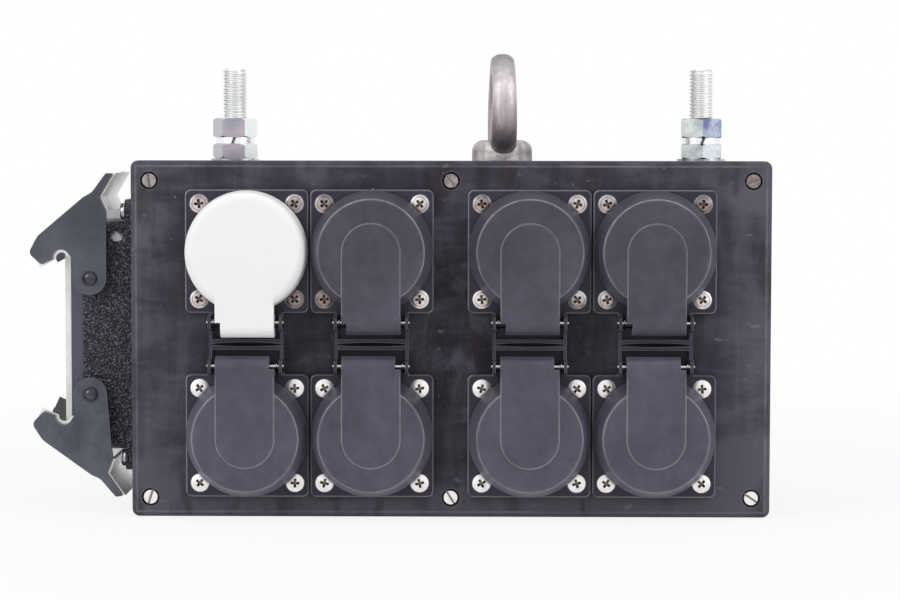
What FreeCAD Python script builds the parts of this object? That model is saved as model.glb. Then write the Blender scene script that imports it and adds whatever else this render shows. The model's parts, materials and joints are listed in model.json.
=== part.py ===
import FreeCAD, Part
import math
import os

Vec = FreeCAD.Vector
X_DIR = Vec(1, 0, 0)
Y_DIR = Vec(0, 1, 0)
Z_DIR = Vec(0, 0, 1)
ORIGIN = Vec(0, 0, 0)

# Frame: millimetres, X to the right, Y from the front cover towards the back, Z up from the underside.

# Enclosure body and front cover
box_width = 258.0
box_height = 144.0
box_depth = 80.0
cover_thickness = 11.0
cover_overhang = 1.0
cover_corner = 3.0
cover_edge = 2.0
gasket_thickness = 1.5
gasket_margin = 0.5
body_wall = 7.0
body_corner = 4.0
cavity_corner = 3.0
rear_edge = 4.0

# Cover screws in their counterbores, brass inserts in the body
cover_screw_inset_x = 7.6
cover_screw_inset_z = 8.0
cover_head_radius = 3.0
cover_head_height = 2.4
counterbore_radius = 3.6
counterbore_depth = 2.8
cover_shank_radius = 2.0
insert_radius = 2.9
insert_length = 10.0
boss_radius = 6.0
boss_length = 14.0

# Clearances shared by all fits
screw_play = 0.3
thread_play = 0.05
seat_play = 0.1
press_play = 0.02

# Panel sockets: two rows of two pairs
socket_pitch = 50.2
pair_offset = 56.7
row_pitch = 74.2
row_drop = 1.4
flange_side = 49.6
flange_thickness = 2.9
flange_gasket_thickness = 0.8
flange_gasket_inset = 0.8
flange_corner = 2.5
flange_edge = 0.5
flange_hole_pitch = 38.3
flange_head_radius = 3.6
flange_head_rise = 0.6
flange_head_depth = 1.9
flange_shank_radius = 1.9
well_radius = 19.5
well_depth = 17.5
collar_wall = 1.25
collar_rise = 1.8
cup_play = 0.5
floor_thickness = 3.0
rib_depth = 2.0
rib_width = 5.0
rib_drop = 3.0
block_width = 34.0
block_height = 26.0
block_length = 16.0

# Contacts in each socket
pin_spacing = 19.0
pin_hole_radius = 2.6
contact_radius = 3.4
contact_bore_radius = 2.4
contact_bore_length = 14.0
contact_tail = 3.0
clip_width = 5.0
clip_thickness = 0.8
clip_reach = 18.3
clip_rise = 9.0
clip_bend = 1.7

# Lid hinge
hinge_offset = 28.4
hinge_height = 12.3
hinge_pin_radius = 1.5
hinge_play = 0.08
pin_overhang = 0.6
ear_inner = 13.6
ear_thickness = 1.2
ear_radius = 3.3
ear_root = 24.9
tray_reach = 36.95
tray_hollow = 0.7
tray_lip_thickness = 2.0
tray_lip_rise = 4.3
spring_wire = 0.5
spring_pitch = 0.62
spring_turns = 1.25
spring_radius = 2.2

# Lids
lid_radius = 24.5
lid_face_radius = 21.2
lid_height = 17.0
lid_face_edge = 0.9
plain_lid_number = 1
plain_lid_face_radius = 23.6
plain_lid_face_edge = 3.5
plain_lid_rise = 0.0
plain_lid_reach = 5.6
lid_rim_gap = 1.0
lid_rim_height = 2.0
lid_wall = 2.0
lid_face_thickness = 2.2
seal_inner_radius = 17.8
seal_outer_radius = 20.9
seal_length = 4.7
seal_gap = 0.3
tongue_half = 11.75
tongue_rise = 0.6
tongue_edge = 0.35
barrel_radius = 3.6
barrel_reach = 4.3
barrel_round = 4.4
barrel_under_round = 3.2
notch_width = 2.2
notch_lead = 0.6

# Hanging studs with their nuts and washers, lifting eye
left_stud_inset = 38.8
right_stud_inset = 25.4
eye_x = 20.9
stud_radius = 5.0
stud_relief = 0.35
stud_free_gap = 0.4
stud_rise = 38.7
stud_chamfer = 1.0
stud_tail = 7.5
nut_flats = 16.0
nut_chamfer_angle = 30.0
upper_nut_height = 8.0
lower_nut_height = 6.2
flat_washer_radius = 10.0
flat_washer_thickness = 1.6
spring_washer_radius = 8.0
spring_washer_thickness = 2.5
spring_washer_gap = 1.2
spring_washer_slant = 20.0
left_nut_turn = 0.0
right_nut_turn = 30.0
plate_width = 24.0
plate_thickness = 3.0
plate_margin = 14.0
eye_outer_radius = 22.5
eye_inner_radius = 12.5
eye_top_width = 8.8
eye_base_width = 11.0
eye_edge = 4.9
eye_collar_edge = 4.6
eye_collar_radius = 12.5
eye_collar_height = 9.3
eye_turn = 2.5

# Rectangular inlet connector on the left wall
connector_z = box_height / 2
connector_cut_play = 0.5
connector_gasket_thickness = 1.0
housing_flange_reach = 8.8
housing_flange_thickness = 5.0
housing_length = 94.0
housing_width = 43.0
housing_corner = 5.0
rim_start = 23.0
rim_end = 28.0
rim_inset = 1.0
housing_end_wall = 4.5
housing_side_wall = 4.0
cavity_round = 3.0
face_seal_width = 2.4
face_seal_thickness = 2.5
housing_hole_inset_z = 5.0
housing_hole_inset_y = 5.5
housing_head_radius = 3.5
housing_head_height = 2.2
housing_shank_radius = 2.0
insert_ledge = 5.6
insert_side_play = 0.5
insert_face = 14.0
insert_tail = 16.0
lug_thickness = 2.5
ledge_play = 0.2
lug_screw_radius = 1.5
lug_head_play = 0.4
lug_head_height = 1.6
power_pins_per_row = 8
power_pin_pitch = 7.5
power_row_pitch = 12.0
power_pin_radius = 1.25
power_pin_reach = 9.0
power_pin_tail = 4.0

# Locking levers, drawn with the pivot at the origin and the box to the right
pivot_out = 19.7
pivot_inset = 23.25
pivot_radius = 2.2
pivot_play = 0.06
pivot_stem_radius = 1.8
pivot_stem_length = 2.5
pivot_head_radius = 3.0
pivot_head_height = 0.8
pivot_head_gap = 0.15
lever_gap = 0.5
cam_thickness = 1.2
lever_thickness = 2.2
lever_boss_radius = 6.8
handle_tip_u = 6.8
handle_tip_v = 42.9
handle_tip_width = 3.0
handle_tip_round = 0.5
bend_u = 1.1
bend_v = 35.1
bend_round = 6.0
belly_u = -2.4
belly_v = 33.2
belly_round = 8.0
crook_u = 4.1
crook_v = 33.2
toe_u = 6.8
toe_v = 27.5
web_back = 1.0
web_front = 0.8
shoulder_u = -21.2
shoulder_v = 17.3
shoulder_round = 7.0
hook_tip_u = -25.0
hook_tip_v = 10.2
hook_tip_round = 2.5
hook_end_u = -19.7
hook_end_v = 5.6
hook_end_round = 1.2
notch_u = -11.7
notch_v = 8.2
notch_radius = 3.5
notch_cam_radius = 2.3
notch_arm_v = 7.6
cam_end_u = -20.5
cam_end_v = 4.2
cam_inset = 1.2
notch_arm_angle = 25.0
notch_hook_angle = 190.0
upper_lever_open = 0.0
lower_lever_open = 4.5

# Values worked out from the sizes above
front_y = -box_depth / 2
cover_back_y = front_y + cover_thickness
body_front_y = cover_back_y + gasket_thickness
back_y = box_depth / 2
body_half = box_width / 2 - cover_overhang
body_top = box_height - cover_overhang
inside_top = body_top - body_wall
wall_x = -body_half

flange_back = -flange_gasket_thickness
flange_front = flange_back - flange_thickness
collar_front = flange_front - collar_rise
floor_front = collar_front + well_depth
cup_end = floor_front + floor_thickness
block_end = cup_end + block_length
cup_radius = well_radius + collar_wall
lid_rim = flange_front - lid_rim_gap
lid_rim_top = lid_rim - lid_rim_height
lid_face = -lid_height
lid_ceiling = lid_face + lid_face_thickness
seal_front = collar_front - seal_gap
seal_back = seal_front - seal_length
hinge_y = -hinge_height
tray_lip_front = flange_front - tray_lip_rise
barrel_start = hinge_offset - barrel_radius
ear_outer = ear_inner + ear_thickness
pin_half = ear_outer + pin_overhang

left_stud_x = left_stud_inset - box_width / 2
right_stud_x = box_width / 2 - right_stud_inset

housing_flange_length = housing_length + 2 * housing_flange_reach
housing_hole_length = housing_flange_length - 2 * housing_hole_inset_z
housing_hole_width = housing_width - 2 * housing_hole_inset_y
cavity_length = housing_length - 2 * housing_end_wall
cavity_width = housing_width - 2 * housing_side_wall
connector_cut_length = cavity_length + 2 * connector_cut_play
connector_cut_width = cavity_width + 2 * seat_play
insert_body_length = cavity_length - 2 * insert_ledge
insert_body_width = cavity_width - 2 * insert_side_play
lug_head_radius = insert_ledge / 2 - lug_head_play
pivot_pitch = housing_length - 2 * pivot_inset
housing_base_x = wall_x - connector_gasket_thickness
flange_face_x = housing_base_x - housing_flange_thickness
rim_start_x = wall_x - rim_start
rim_end_x = wall_x - rim_end
insert_face_x = wall_x - insert_face
insert_tail_x = wall_x + insert_tail
pivot_x = wall_x - pivot_out
cam_y = housing_width / 2 + lever_gap
lever_y = cam_y + cam_thickness
lever_outer_y = lever_y + lever_thickness


# Helpers
def box(x0, x1, y0, y1, z0, z1):
    return Part.makeBox(x1 - x0, y1 - y0, z1 - z0, Vec(x0, y0, z0))


def rod(radius, start, end):
    return Part.makeCylinder(radius, (end - start).Length, start, end - start)


def rounded_wire(corners, place):
    """Closed wire through (a, b, radius) corners; place turns a and b into a point in space."""
    count = len(corners)
    points = [Vec(a, b, 0) for a, b, radius in corners]
    edges = []
    starts = []
    ends = []
    arcs = []
    for i in range(count):
        here = points[i]
        back = (points[i - 1] - here).normalize()
        ahead = (points[(i + 1) % count] - here).normalize()
        radius = corners[i][2]
        if radius == 0:
            starts.append(here)
            ends.append(here)
            arcs.append(None)
            continue
        half = math.acos(max(-1, min(1, back.dot(ahead)))) / 2
        cut = radius / math.tan(half)
        bisector = (back + ahead).normalize()
        middle = here + bisector * (radius / math.sin(half) - radius)
        starts.append(here + back * cut)
        ends.append(here + ahead * cut)
        arcs.append(middle)
    for i in range(count):
        if arcs[i] is not None:
            arc = Part.Arc(place(starts[i]), place(arcs[i]), place(ends[i]))
            edges.append(arc.toShape())
        following = starts[(i + 1) % count]
        if (following - ends[i]).Length > 1e-6:
            edges.append(Part.makeLine(place(ends[i]), place(following)))
    return Part.Wire(edges)


def slab_xz(corners, y0, y1):
    """Flat piece with its outline in X and Z."""
    wire = rounded_wire(corners, lambda p: Vec(p.x, y0, p.y))
    return Part.Face(wire).extrude(Vec(0, y1 - y0, 0))


def slab_zy(corners, x0, x1):
    """Flat piece with its outline in Z and Y."""
    wire = rounded_wire(corners, lambda p: Vec(x0, p.y, p.x))
    return Part.Face(wire).extrude(Vec(x1 - x0, 0, 0))


def turned_y(corners):
    """Solid of revolution about the Y axis from (radius, y, rounding) corners."""
    wire = rounded_wire(corners, lambda p: Vec(p.x, p.y, 0))
    return Part.Face(wire).revolve(ORIGIN, Y_DIR, 360)


def turned_z(corners):
    """Solid of revolution about the Z axis from (radius, z, rounding) corners."""
    wire = rounded_wire(corners, lambda p: Vec(p.x, 0, p.y))
    return Part.Face(wire).revolve(ORIGIN, Z_DIR, 360)


def rectangle(x0, x1, z0, z1, radius):
    return [(x0, z0, radius), (x1, z0, radius), (x1, z1, radius), (x0, z1, radius)]


def plate_zy(length, width, radius, x0, x1):
    """Rounded plate on the left wall, centred on the connector."""
    outline = rectangle(-length / 2, length / 2, -width / 2, width / 2, radius)
    return moved(slab_zy(outline, x0, x1), 0, 0, connector_z)


def moved(shape, x, y, z):
    copy = shape.copy()
    copy.translate(Vec(x, y, z))
    return copy


def turned(shape, axis, angle, centre=ORIGIN):
    copy = shape.copy()
    copy.rotate(centre, axis, angle)
    return copy


def edges_at_y(shape, y):
    """Edges that lie wholly in the plane at this y."""
    picked = []
    for edge in shape.Edges:
        limits = edge.BoundBox
        if abs(limits.YMin - y) < 1e-4 and abs(limits.YMax - y) < 1e-4:
            picked.append(edge)
    return picked


def group(shapes):
    return Part.makeCompound(shapes)


# Places that repeat
cover_screw_x = box_width / 2 - cover_screw_inset_x
cover_screw_z = (cover_screw_inset_z, box_height - cover_screw_inset_z)
cover_screw_places = []
for column_x in (-cover_screw_x, 0, cover_screw_x):
    for row_z in cover_screw_z:
        cover_screw_places.append((column_x, row_z))

row_middle = box_height / 2 - row_drop
socket_columns = []
for pair_x in (-pair_offset, pair_offset):
    for side in (-1, 1):
        socket_columns.append(pair_x + side * socket_pitch / 2)
socket_places = []
for row_z, turn in ((row_middle + row_pitch / 2, 180), (row_middle - row_pitch / 2, 0)):
    for column_x in socket_columns:
        socket_places.append((column_x, row_z, turn))

corner_signs = ((-1, -1), (1, -1), (1, 1), (-1, 1))
flange_hole_places = []
for sign_x, sign_z in corner_signs:
    flange_hole_places.append((sign_x * flange_hole_pitch / 2, sign_z * flange_hole_pitch / 2))

housing_hole_places = []
for sign_y, sign_z in corner_signs:
    hole_z = connector_z + sign_z * housing_hole_length / 2
    housing_hole_places.append((sign_y * housing_hole_width / 2, hole_z))

stud_places = ((left_stud_x, left_nut_turn), (right_stud_x, right_nut_turn))
hanging_columns = (left_stud_x, right_stud_x, eye_x)
stud_seat_radius = stud_radius - stud_relief


def at_socket(shape, place):
    column_x, row_z, turn = place
    return moved(turned(shape, Y_DIR, turn), column_x, front_y, row_z)


def at_all_sockets(shape):
    return group([at_socket(shape, place) for place in socket_places])


# Enclosure
def make_body():
    outline = rectangle(-body_half, body_half, 0, body_top, body_corner)
    body = slab_xz(outline, body_front_y, back_y)
    body = body.makeFillet(rear_edge, edges_at_y(body, back_y))
    inner = rectangle(-body_half + body_wall, body_half - body_wall, body_wall, inside_top, cavity_corner)
    body = body.cut(slab_xz(inner, body_front_y, back_y - body_wall))
    bosses = []
    holes = []
    for x, z in cover_screw_places:
        end_y = body_front_y + boss_length
        bosses.append(rod(boss_radius, Vec(x, body_front_y, z), Vec(x, end_y, z)))
        hole_end = body_front_y + insert_length + screw_play
        holes.append(rod(insert_radius + press_play, Vec(x, body_front_y, z), Vec(x, hole_end, z)))
    for x in hanging_columns:
        holes.append(rod(stud_radius + screw_play, Vec(x, 0, inside_top), Vec(x, 0, body_top)))
    for y, z in housing_hole_places:
        end = Vec(wall_x + body_wall, y, z)
        holes.append(rod(housing_shank_radius + thread_play, Vec(wall_x, y, z), end))
    inside_x = wall_x + body_wall
    holes.append(plate_zy(connector_cut_length, connector_cut_width, cavity_round, wall_x, inside_x))
    return body.fuse(bosses).removeSplitter().cut(holes)


def make_cover():
    half = box_width / 2
    cover = slab_xz(rectangle(-half, half, 0, box_height, cover_corner), front_y, cover_back_y)
    cover = cover.makeFillet(cover_edge, edges_at_y(cover, front_y))
    holes = []
    for x, z in cover_screw_places:
        start = Vec(x, front_y, z)
        holes.append(rod(counterbore_radius, start, Vec(x, front_y + counterbore_depth, z)))
        holes.append(rod(cover_shank_radius + screw_play, start, Vec(x, cover_back_y, z)))
    cup_hole = [rod(cup_radius + cup_play, ORIGIN, Vec(0, cover_thickness, 0))]
    for x, z in flange_hole_places:
        radius = flange_shank_radius + thread_play
        cup_hole.append(rod(radius, Vec(x, 0, z), Vec(x, cover_thickness, z)))
    for place in socket_places:
        for hole in cup_hole:
            holes.append(at_socket(hole, place))
    return cover.cut(holes)


def make_cover_gasket():
    out = body_half - gasket_margin
    top = body_top - gasket_margin
    outline = rectangle(-out, out, gasket_margin, top, body_corner)
    ring = slab_xz(outline, cover_back_y, body_front_y)
    land = body_wall - gasket_margin
    inner = rectangle(-body_half + land, body_half - land, land, body_top - land, cavity_corner)
    ring = ring.cut(slab_xz(inner, cover_back_y, body_front_y))
    pads = []
    holes = []
    for x, z in cover_screw_places:
        start = Vec(x, cover_back_y, z)
        end = Vec(x, body_front_y, z)
        pads.append(rod(boss_radius - gasket_margin, start, end))
        holes.append(rod(cover_shank_radius + screw_play, start, end))
    return ring.fuse(pads).removeSplitter().cut(holes)


def make_cover_screws():
    screws = []
    seat = front_y + counterbore_depth
    tip = body_front_y + insert_length
    for x, z in cover_screw_places:
        head = rod(cover_head_radius, Vec(x, seat - cover_head_height, z), Vec(x, seat, z))
        shank = rod(cover_shank_radius, Vec(x, seat, z), Vec(x, tip, z))
        screws.append(head.fuse(shank))
    return group(screws)


def make_cover_inserts():
    inserts = []
    for x, z in cover_screw_places:
        start = Vec(x, body_front_y, z)
        end = Vec(x, body_front_y + insert_length, z)
        sleeve = rod(insert_radius, start, end).cut(rod(cover_shank_radius + thread_play, start, end))
        inserts.append(sleeve)
    return group(inserts)


# Panel sockets, drawn with the socket axis on Y, the cover face at y = 0 and the hinge towards +Z
def make_socket():
    half = flange_side / 2
    flange = slab_xz(rectangle(-half, half, -half, half, flange_corner), flange_front, flange_back)
    flange = flange.makeFillet(flange_edge, edges_at_y(flange, flange_front))
    tray = box(-ear_outer, ear_outer, flange_front, flange_back, half - flange_corner, tray_reach)
    lip_start = tray_reach - tray_lip_thickness
    lip = box(-ear_outer, ear_outer, tray_lip_front, flange_front, lip_start, tray_reach)
    hollow_radius = ear_outer ** 2 / (2 * tray_hollow) + tray_hollow / 2
    hollow_z = tray_reach - tray_hollow + hollow_radius
    hollow = rod(hollow_radius, Vec(0, tray_lip_front, hollow_z), Vec(0, flange_back, hollow_z))
    tray = tray.fuse(lip).removeSplitter().cut(hollow)
    ear_tip = hinge_y - ear_radius
    ear = slab_zy(
        [
            (ear_root, flange_back, 0),
            (ear_root, ear_tip, ear_radius),
            (hinge_offset + ear_radius, ear_tip, ear_radius),
            (hinge_offset + ear_radius, hinge_y + ear_radius, 0),
            (tray_reach, tray_lip_front, 0),
            (tray_reach, flange_back, 0),
        ],
        ear_inner,
        ear_outer,
    )
    ears = [ear, moved(ear, -ear_inner - ear_outer, 0, 0)]
    cup = rod(cup_radius, Vec(0, collar_front, 0), Vec(0, cup_end, 0))
    solid = flange.fuse([tray, cup] + ears).removeSplitter()
    cuts = [rod(well_radius, Vec(0, collar_front, 0), Vec(0, cup_end, 0))]
    pin_hole = hinge_pin_radius + press_play
    cuts.append(rod(pin_hole, Vec(-pin_half, hinge_y, hinge_offset), Vec(pin_half, hinge_y, hinge_offset)))
    for x, z in flange_hole_places:
        cuts.append(moved(flange_screw_cone(thread_play), x, 0, z))
        cuts.append(rod(flange_shank_radius + screw_play, Vec(x, flange_front, z), Vec(x, flange_back, z)))
    solid = solid.cut(cuts)
    ribs = []
    for side in (-1, 1):
        rib_x = sorted((side * (well_radius - rib_depth), side * (well_radius + collar_wall / 2)))
        rib_front = collar_front + rib_drop
        ribs.append(box(rib_x[0], rib_x[1], rib_front, floor_front, -rib_width / 2, rib_width / 2))
    return solid.fuse(ribs).removeSplitter()


def make_carrier():
    """Contact carrier: the floor of the well with the block behind it that holds the contacts."""
    floor = rod(well_radius - seat_play, Vec(0, floor_front, 0), Vec(0, cup_end, 0))
    block = box(-block_width / 2, block_width / 2, cup_end, block_end, -block_height / 2, block_height / 2)
    slot_half = clip_width / 2 + seat_play
    strap_end = cup_end + clip_thickness + seat_play
    cuts = [box(-slot_half, slot_half, cup_end, strap_end, -block_height / 2, block_height / 2)]
    for side in (-1, 1):
        x = side * pin_spacing / 2
        cuts.append(rod(pin_hole_radius, Vec(x, floor_front, 0), Vec(x, cup_end, 0)))
        cuts.append(rod(contact_radius + thread_play, Vec(x, cup_end, 0), Vec(x, block_end, 0)))
        slot_z = sorted((side * (clip_reach + seat_play), side * (clip_reach - clip_thickness - seat_play)))
        cuts.append(box(-slot_half, slot_half, floor_front, cup_end, slot_z[0], slot_z[1]))
    return floor.fuse(block).removeSplitter().cut(cuts)


def flange_screw_cone(play):
    head = flange_head_radius + play
    shank = flange_shank_radius + play
    return Part.makeCone(head, shank, flange_head_depth, Vec(0, flange_front, 0), Y_DIR)


def make_flange_screw():
    """Raised countersunk screw with its head in the flange and its tip level with the back of the cover."""
    dome_radius = (flange_head_radius ** 2 + flange_head_rise ** 2) / (2 * flange_head_rise)
    dome = Part.makeSphere(dome_radius, Vec(0, flange_front - flange_head_rise + dome_radius, 0))
    head_top = Vec(0, flange_front - flange_head_rise, 0)
    seat = Vec(0, flange_front, 0)
    cap = dome.common(rod(flange_head_radius, head_top, seat))
    stem = rod(flange_shank_radius, seat, Vec(0, cover_thickness, 0))
    return flange_screw_cone(0).fuse([stem, cap]).removeSplitter()


def make_flange_gasket():
    half = flange_side / 2 - flange_gasket_inset
    sheet = slab_xz(rectangle(-half, half, -half, half, flange_corner), flange_back, 0)
    holes = [rod(cup_radius + seat_play, Vec(0, flange_back, 0), ORIGIN)]
    for x, z in flange_hole_places:
        radius = flange_shank_radius + screw_play
        holes.append(rod(radius, Vec(x, flange_back, z), Vec(x, 0, z)))
    return sheet.cut(holes)


def make_contacts():
    contacts = []
    for side in (-1, 1):
        x = side * pin_spacing / 2
        sleeve = rod(contact_radius, Vec(x, cup_end, 0), Vec(x, block_end + contact_tail, 0))
        bore = rod(contact_bore_radius, Vec(x, cup_end, 0), Vec(x, cup_end + contact_bore_length, 0))
        contacts.append(sleeve.cut(bore))
    return contacts


def make_earth_clip():
    inner = clip_reach - clip_thickness
    tip = floor_front - clip_rise
    knee = tip + clip_rise / 3
    outline = []
    for side in (-1, 1):
        leg = [
            (side * clip_reach, cup_end + clip_thickness, 0),
            (side * clip_reach, knee, 0),
            (side * (clip_reach - clip_bend), tip, 0),
            (side * (inner - clip_bend), tip, 0),
            (side * inner, knee, 0),
            (side * inner, cup_end, 0),
        ]
        outline += leg if side < 0 else leg[::-1]
    return slab_zy(outline, -clip_width / 2, clip_width / 2)


def make_lid(face_radius, face_edge, rise, reach):
    """Cup-shaped lid with the tongue that stands off its face by rise and reaches past the hinge pin."""
    tongue_face = lid_face - rise
    barrel_end = hinge_offset + reach
    cone_run = (lid_radius - face_radius) / (lid_rim_top - lid_face)
    inner_radius = lid_radius - lid_wall
    seat_radius = inner_radius - cone_run * (lid_rim_top - seal_back)
    cup = turned_y(
        [
            (0, lid_face, 0),
            (face_radius, lid_face, face_edge),
            (lid_radius, lid_rim_top, 0),
            (lid_radius, lid_rim, 0),
            (inner_radius, lid_rim, 0),
            (inner_radius, lid_rim_top, 0),
            (seat_radius, seal_back, 0),
            (seal_inner_radius, seal_back, 0),
            (seal_inner_radius, lid_ceiling, 0),
            (0, lid_ceiling, 0),
        ]
    )
    under = hinge_y + barrel_radius
    tongue = slab_zy(
        [
            (-tongue_half, tongue_face, 0),
            (barrel_end, tongue_face, barrel_round),
            (barrel_end, under, barrel_under_round),
            (barrel_start, under, barrel_under_round),
            (barrel_start, lid_ceiling, 0),
            (-tongue_half, lid_ceiling, 0),
        ],
        -tongue_half,
        tongue_half,
    )
    plan = rod(tongue_half, Vec(0, tongue_face, 0), Vec(0, under, 0))
    plan = plan.fuse(box(-tongue_half, tongue_half, tongue_face, under, 0, barrel_end))
    tongue = tongue.common(plan.removeSplitter())
    rim = []
    for edge in edges_at_y(tongue, tongue_face):
        if edge.BoundBox.ZMax - edge.BoundBox.ZMin > tongue_edge:
            rim.append(edge)
    tongue = tongue.makeFillet(tongue_edge, rim)
    lid = cup.fuse(tongue).removeSplitter()
    hole_radius = hinge_pin_radius + hinge_play
    hole = rod(hole_radius, Vec(-pin_half, hinge_y, hinge_offset), Vec(pin_half, hinge_y, hinge_offset))
    notch_x = tongue_half - notch_width
    notch = box(notch_x, pin_half, tongue_face, under, hinge_offset - notch_lead, barrel_end)
    return lid.cut([hole, notch])


def make_lid_seal():
    outer = rod(seal_outer_radius, Vec(0, seal_back, 0), Vec(0, seal_front, 0))
    return outer.cut(rod(seal_inner_radius, Vec(0, seal_back, 0), Vec(0, seal_front, 0)))


def make_hinge_pin():
    return rod(hinge_pin_radius, Vec(-pin_half, hinge_y, hinge_offset), Vec(pin_half, hinge_y, hinge_offset))


def make_lid_spring():
    """Coil in the gap between lid barrel and ear, with the leg that rests on the tray."""
    length = spring_pitch * spring_turns
    path = Part.makeHelix(spring_pitch, length, spring_radius)
    section = Part.Wire(Part.makeCircle(spring_wire / 2, Vec(spring_radius, 0, 0), Y_DIR))
    coil = Part.Wire(path.Edges).makePipeShell([section], True, True)
    leg_start = Vec(spring_radius, 0, 0)
    leg_end = leg_start + Vec(0, flange_front - hinge_y, 0)
    coil = coil.fuse(rod(spring_wire / 2, leg_start, leg_end))
    coil = turned(coil, Y_DIR, -90)
    start_x = (tongue_half + ear_inner + length) / 2
    return moved(coil, start_x, hinge_y, hinge_offset)


# Hanging studs and lifting eye
def make_nut(height, turn):
    corner = nut_flats / 2 / math.cos(math.radians(30))
    points = []
    for i in range(6):
        angle = math.radians(60 * i + turn)
        points.append(Vec(corner * math.cos(angle), corner * math.sin(angle), 0))
    hexagon = Part.Face(Part.makePolygon(points + points[:1])).extrude(Vec(0, 0, height))
    flat = nut_flats / 2 - thread_play
    drop = (corner - flat) * math.tan(math.radians(nut_chamfer_angle))
    rounding = turned_z(
        [
            (0, 0, 0),
            (flat, 0, 0),
            (corner, drop, 0),
            (corner, height - drop, 0),
            (flat, height, 0),
            (0, height, 0),
        ]
    )
    return hexagon.common(rounding).cut(rod(stud_seat_radius + thread_play, ORIGIN, Vec(0, 0, height)))


def ring_washer(radius, thickness):
    return rod(radius, ORIGIN, Vec(0, 0, thickness)).cut(
        rod(stud_radius + screw_play, ORIGIN, Vec(0, 0, thickness))
    )


def make_spring_washer():
    ring = ring_washer(spring_washer_radius, spring_washer_thickness)
    half = spring_washer_gap / 2
    split = box(-half, half, -2 * spring_washer_radius, 0, -stud_radius, stud_radius + spring_washer_thickness)
    middle = Vec(0, 0, spring_washer_thickness / 2)
    return ring.cut(turned(split, Y_DIR, spring_washer_slant, middle))


washer_top = body_top + flat_washer_thickness
lower_nut_top = washer_top + lower_nut_height
spring_washer_top = lower_nut_top + spring_washer_thickness
upper_nut_top = spring_washer_top + upper_nut_height
plate_under = inside_top - plate_thickness


def make_stud(x):
    """Hanging stud, a touch slimmer where it runs through the nuts and the box than on its free end."""
    low = plate_under - stud_tail
    high = body_top + stud_rise
    small = stud_radius - stud_chamfer
    free_end = upper_nut_top + stud_free_gap
    stud = turned_z(
        [
            (0, low, 0),
            (small, low, 0),
            (stud_seat_radius, low + stud_seat_radius - small, 0),
            (stud_seat_radius, free_end, 0),
            (stud_radius, free_end, 0),
            (stud_radius, high - stud_chamfer, 0),
            (small, high, 0),
            (0, high, 0),
        ]
    )
    return moved(stud, x, 0, 0)


def make_on_studs(height, base):
    return group([moved(make_nut(height, turn), x, 0, base) for x, turn in stud_places])


def make_flat_washers():
    washer = ring_washer(flat_washer_radius, flat_washer_thickness)
    return group([moved(washer, x, 0, body_top) for x, turn in stud_places])


def make_inner_nuts():
    base = plate_under - lower_nut_height
    return group([moved(make_nut(lower_nut_height, left_nut_turn), x, 0, base) for x in hanging_columns])


def make_backing_plate():
    half = plate_width / 2
    plate = box(left_stud_x - plate_margin, right_stud_x + plate_margin, -half, half, plate_under, inside_top)
    holes = []
    for x in hanging_columns:
        holes.append(rod(stud_radius + screw_play, Vec(x, 0, plate_under), Vec(x, 0, inside_top)))
    return plate.cut(holes)


def make_lifting_eye():
    wide = eye_base_width / 2
    section = rounded_wire(
        [
            (eye_inner_radius, -wide, eye_edge),
            (eye_outer_radius, -wide, eye_edge),
            (eye_outer_radius, wide, eye_edge),
            (eye_inner_radius, wide, eye_edge),
        ],
        lambda p: Vec(p.y, 0, p.x),
    )
    ring = Part.Face(section).revolve(ORIGIN, X_DIR, 360)
    slim = eye_top_width / 2
    taper = rounded_wire(
        [
            (-wide, -eye_outer_radius, 0),
            (wide, -eye_outer_radius, 0),
            (slim, eye_outer_radius, 0),
            (-slim, eye_outer_radius, 0),
        ],
        lambda p: Vec(p.x, -eye_outer_radius, p.y),
    )
    ring = ring.common(Part.Face(taper).extrude(Vec(0, 2 * eye_outer_radius, 0)))
    ring = moved(turned(ring, Z_DIR, eye_turn), 0, 0, body_top + eye_outer_radius)
    collar_top = body_top + eye_collar_height
    shank_low = plate_under - stud_tail
    collar = turned_z(
        [
            (0, shank_low, 0),
            (stud_seat_radius, shank_low, stud_chamfer),
            (stud_seat_radius, body_top, 0),
            (eye_collar_radius, body_top, stud_chamfer),
            (eye_collar_radius, collar_top, eye_collar_edge),
            (0, collar_top, 0),
        ]
    )
    return moved(collar.fuse(ring).removeSplitter(), eye_x, 0, 0)


# Inlet connector
def make_housing():
    flange = plate_zy(
        housing_flange_length, housing_width, housing_corner, housing_base_x, flange_face_x
    )
    shell = plate_zy(housing_length, housing_width, housing_corner, flange_face_x, rim_start_x)
    rim_length = housing_length - 2 * rim_inset
    rim_width = housing_width - 2 * rim_inset
    rim = plate_zy(rim_length, rim_width, housing_corner - rim_inset, rim_start_x, rim_end_x)
    solid = flange.fuse([shell, rim]).removeSplitter()
    cuts = [plate_zy(cavity_length, cavity_width, cavity_round, flange_face_x, rim_end_x)]
    throat = insert_body_length + 2 * ledge_play
    cuts.append(plate_zy(throat, cavity_width, cavity_round, housing_base_x, flange_face_x))
    for y, z in housing_hole_places:
        start = Vec(housing_base_x, y, z)
        cuts.append(rod(housing_shank_radius + screw_play, start, Vec(flange_face_x, y, z)))
    for side_y in (-1, 1):
        for z in pivot_heights():
            start = Vec(pivot_x, side_y * housing_width / 2, z)
            end = Vec(pivot_x, side_y * (housing_width / 2 - pivot_stem_length), z)
            cuts.append(rod(pivot_stem_radius + press_play, start, end))
    for z in lug_screw_heights():
        start = Vec(flange_face_x, 0, z)
        cuts.append(rod(lug_screw_radius + thread_play, start, Vec(housing_base_x, 0, z)))
    return solid.cut(cuts)


def pivot_heights():
    return (connector_z + pivot_pitch / 2, connector_z - pivot_pitch / 2)


def lug_screw_heights():
    reach = (insert_body_length + cavity_length) / 4
    return (connector_z + reach, connector_z - reach)


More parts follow.
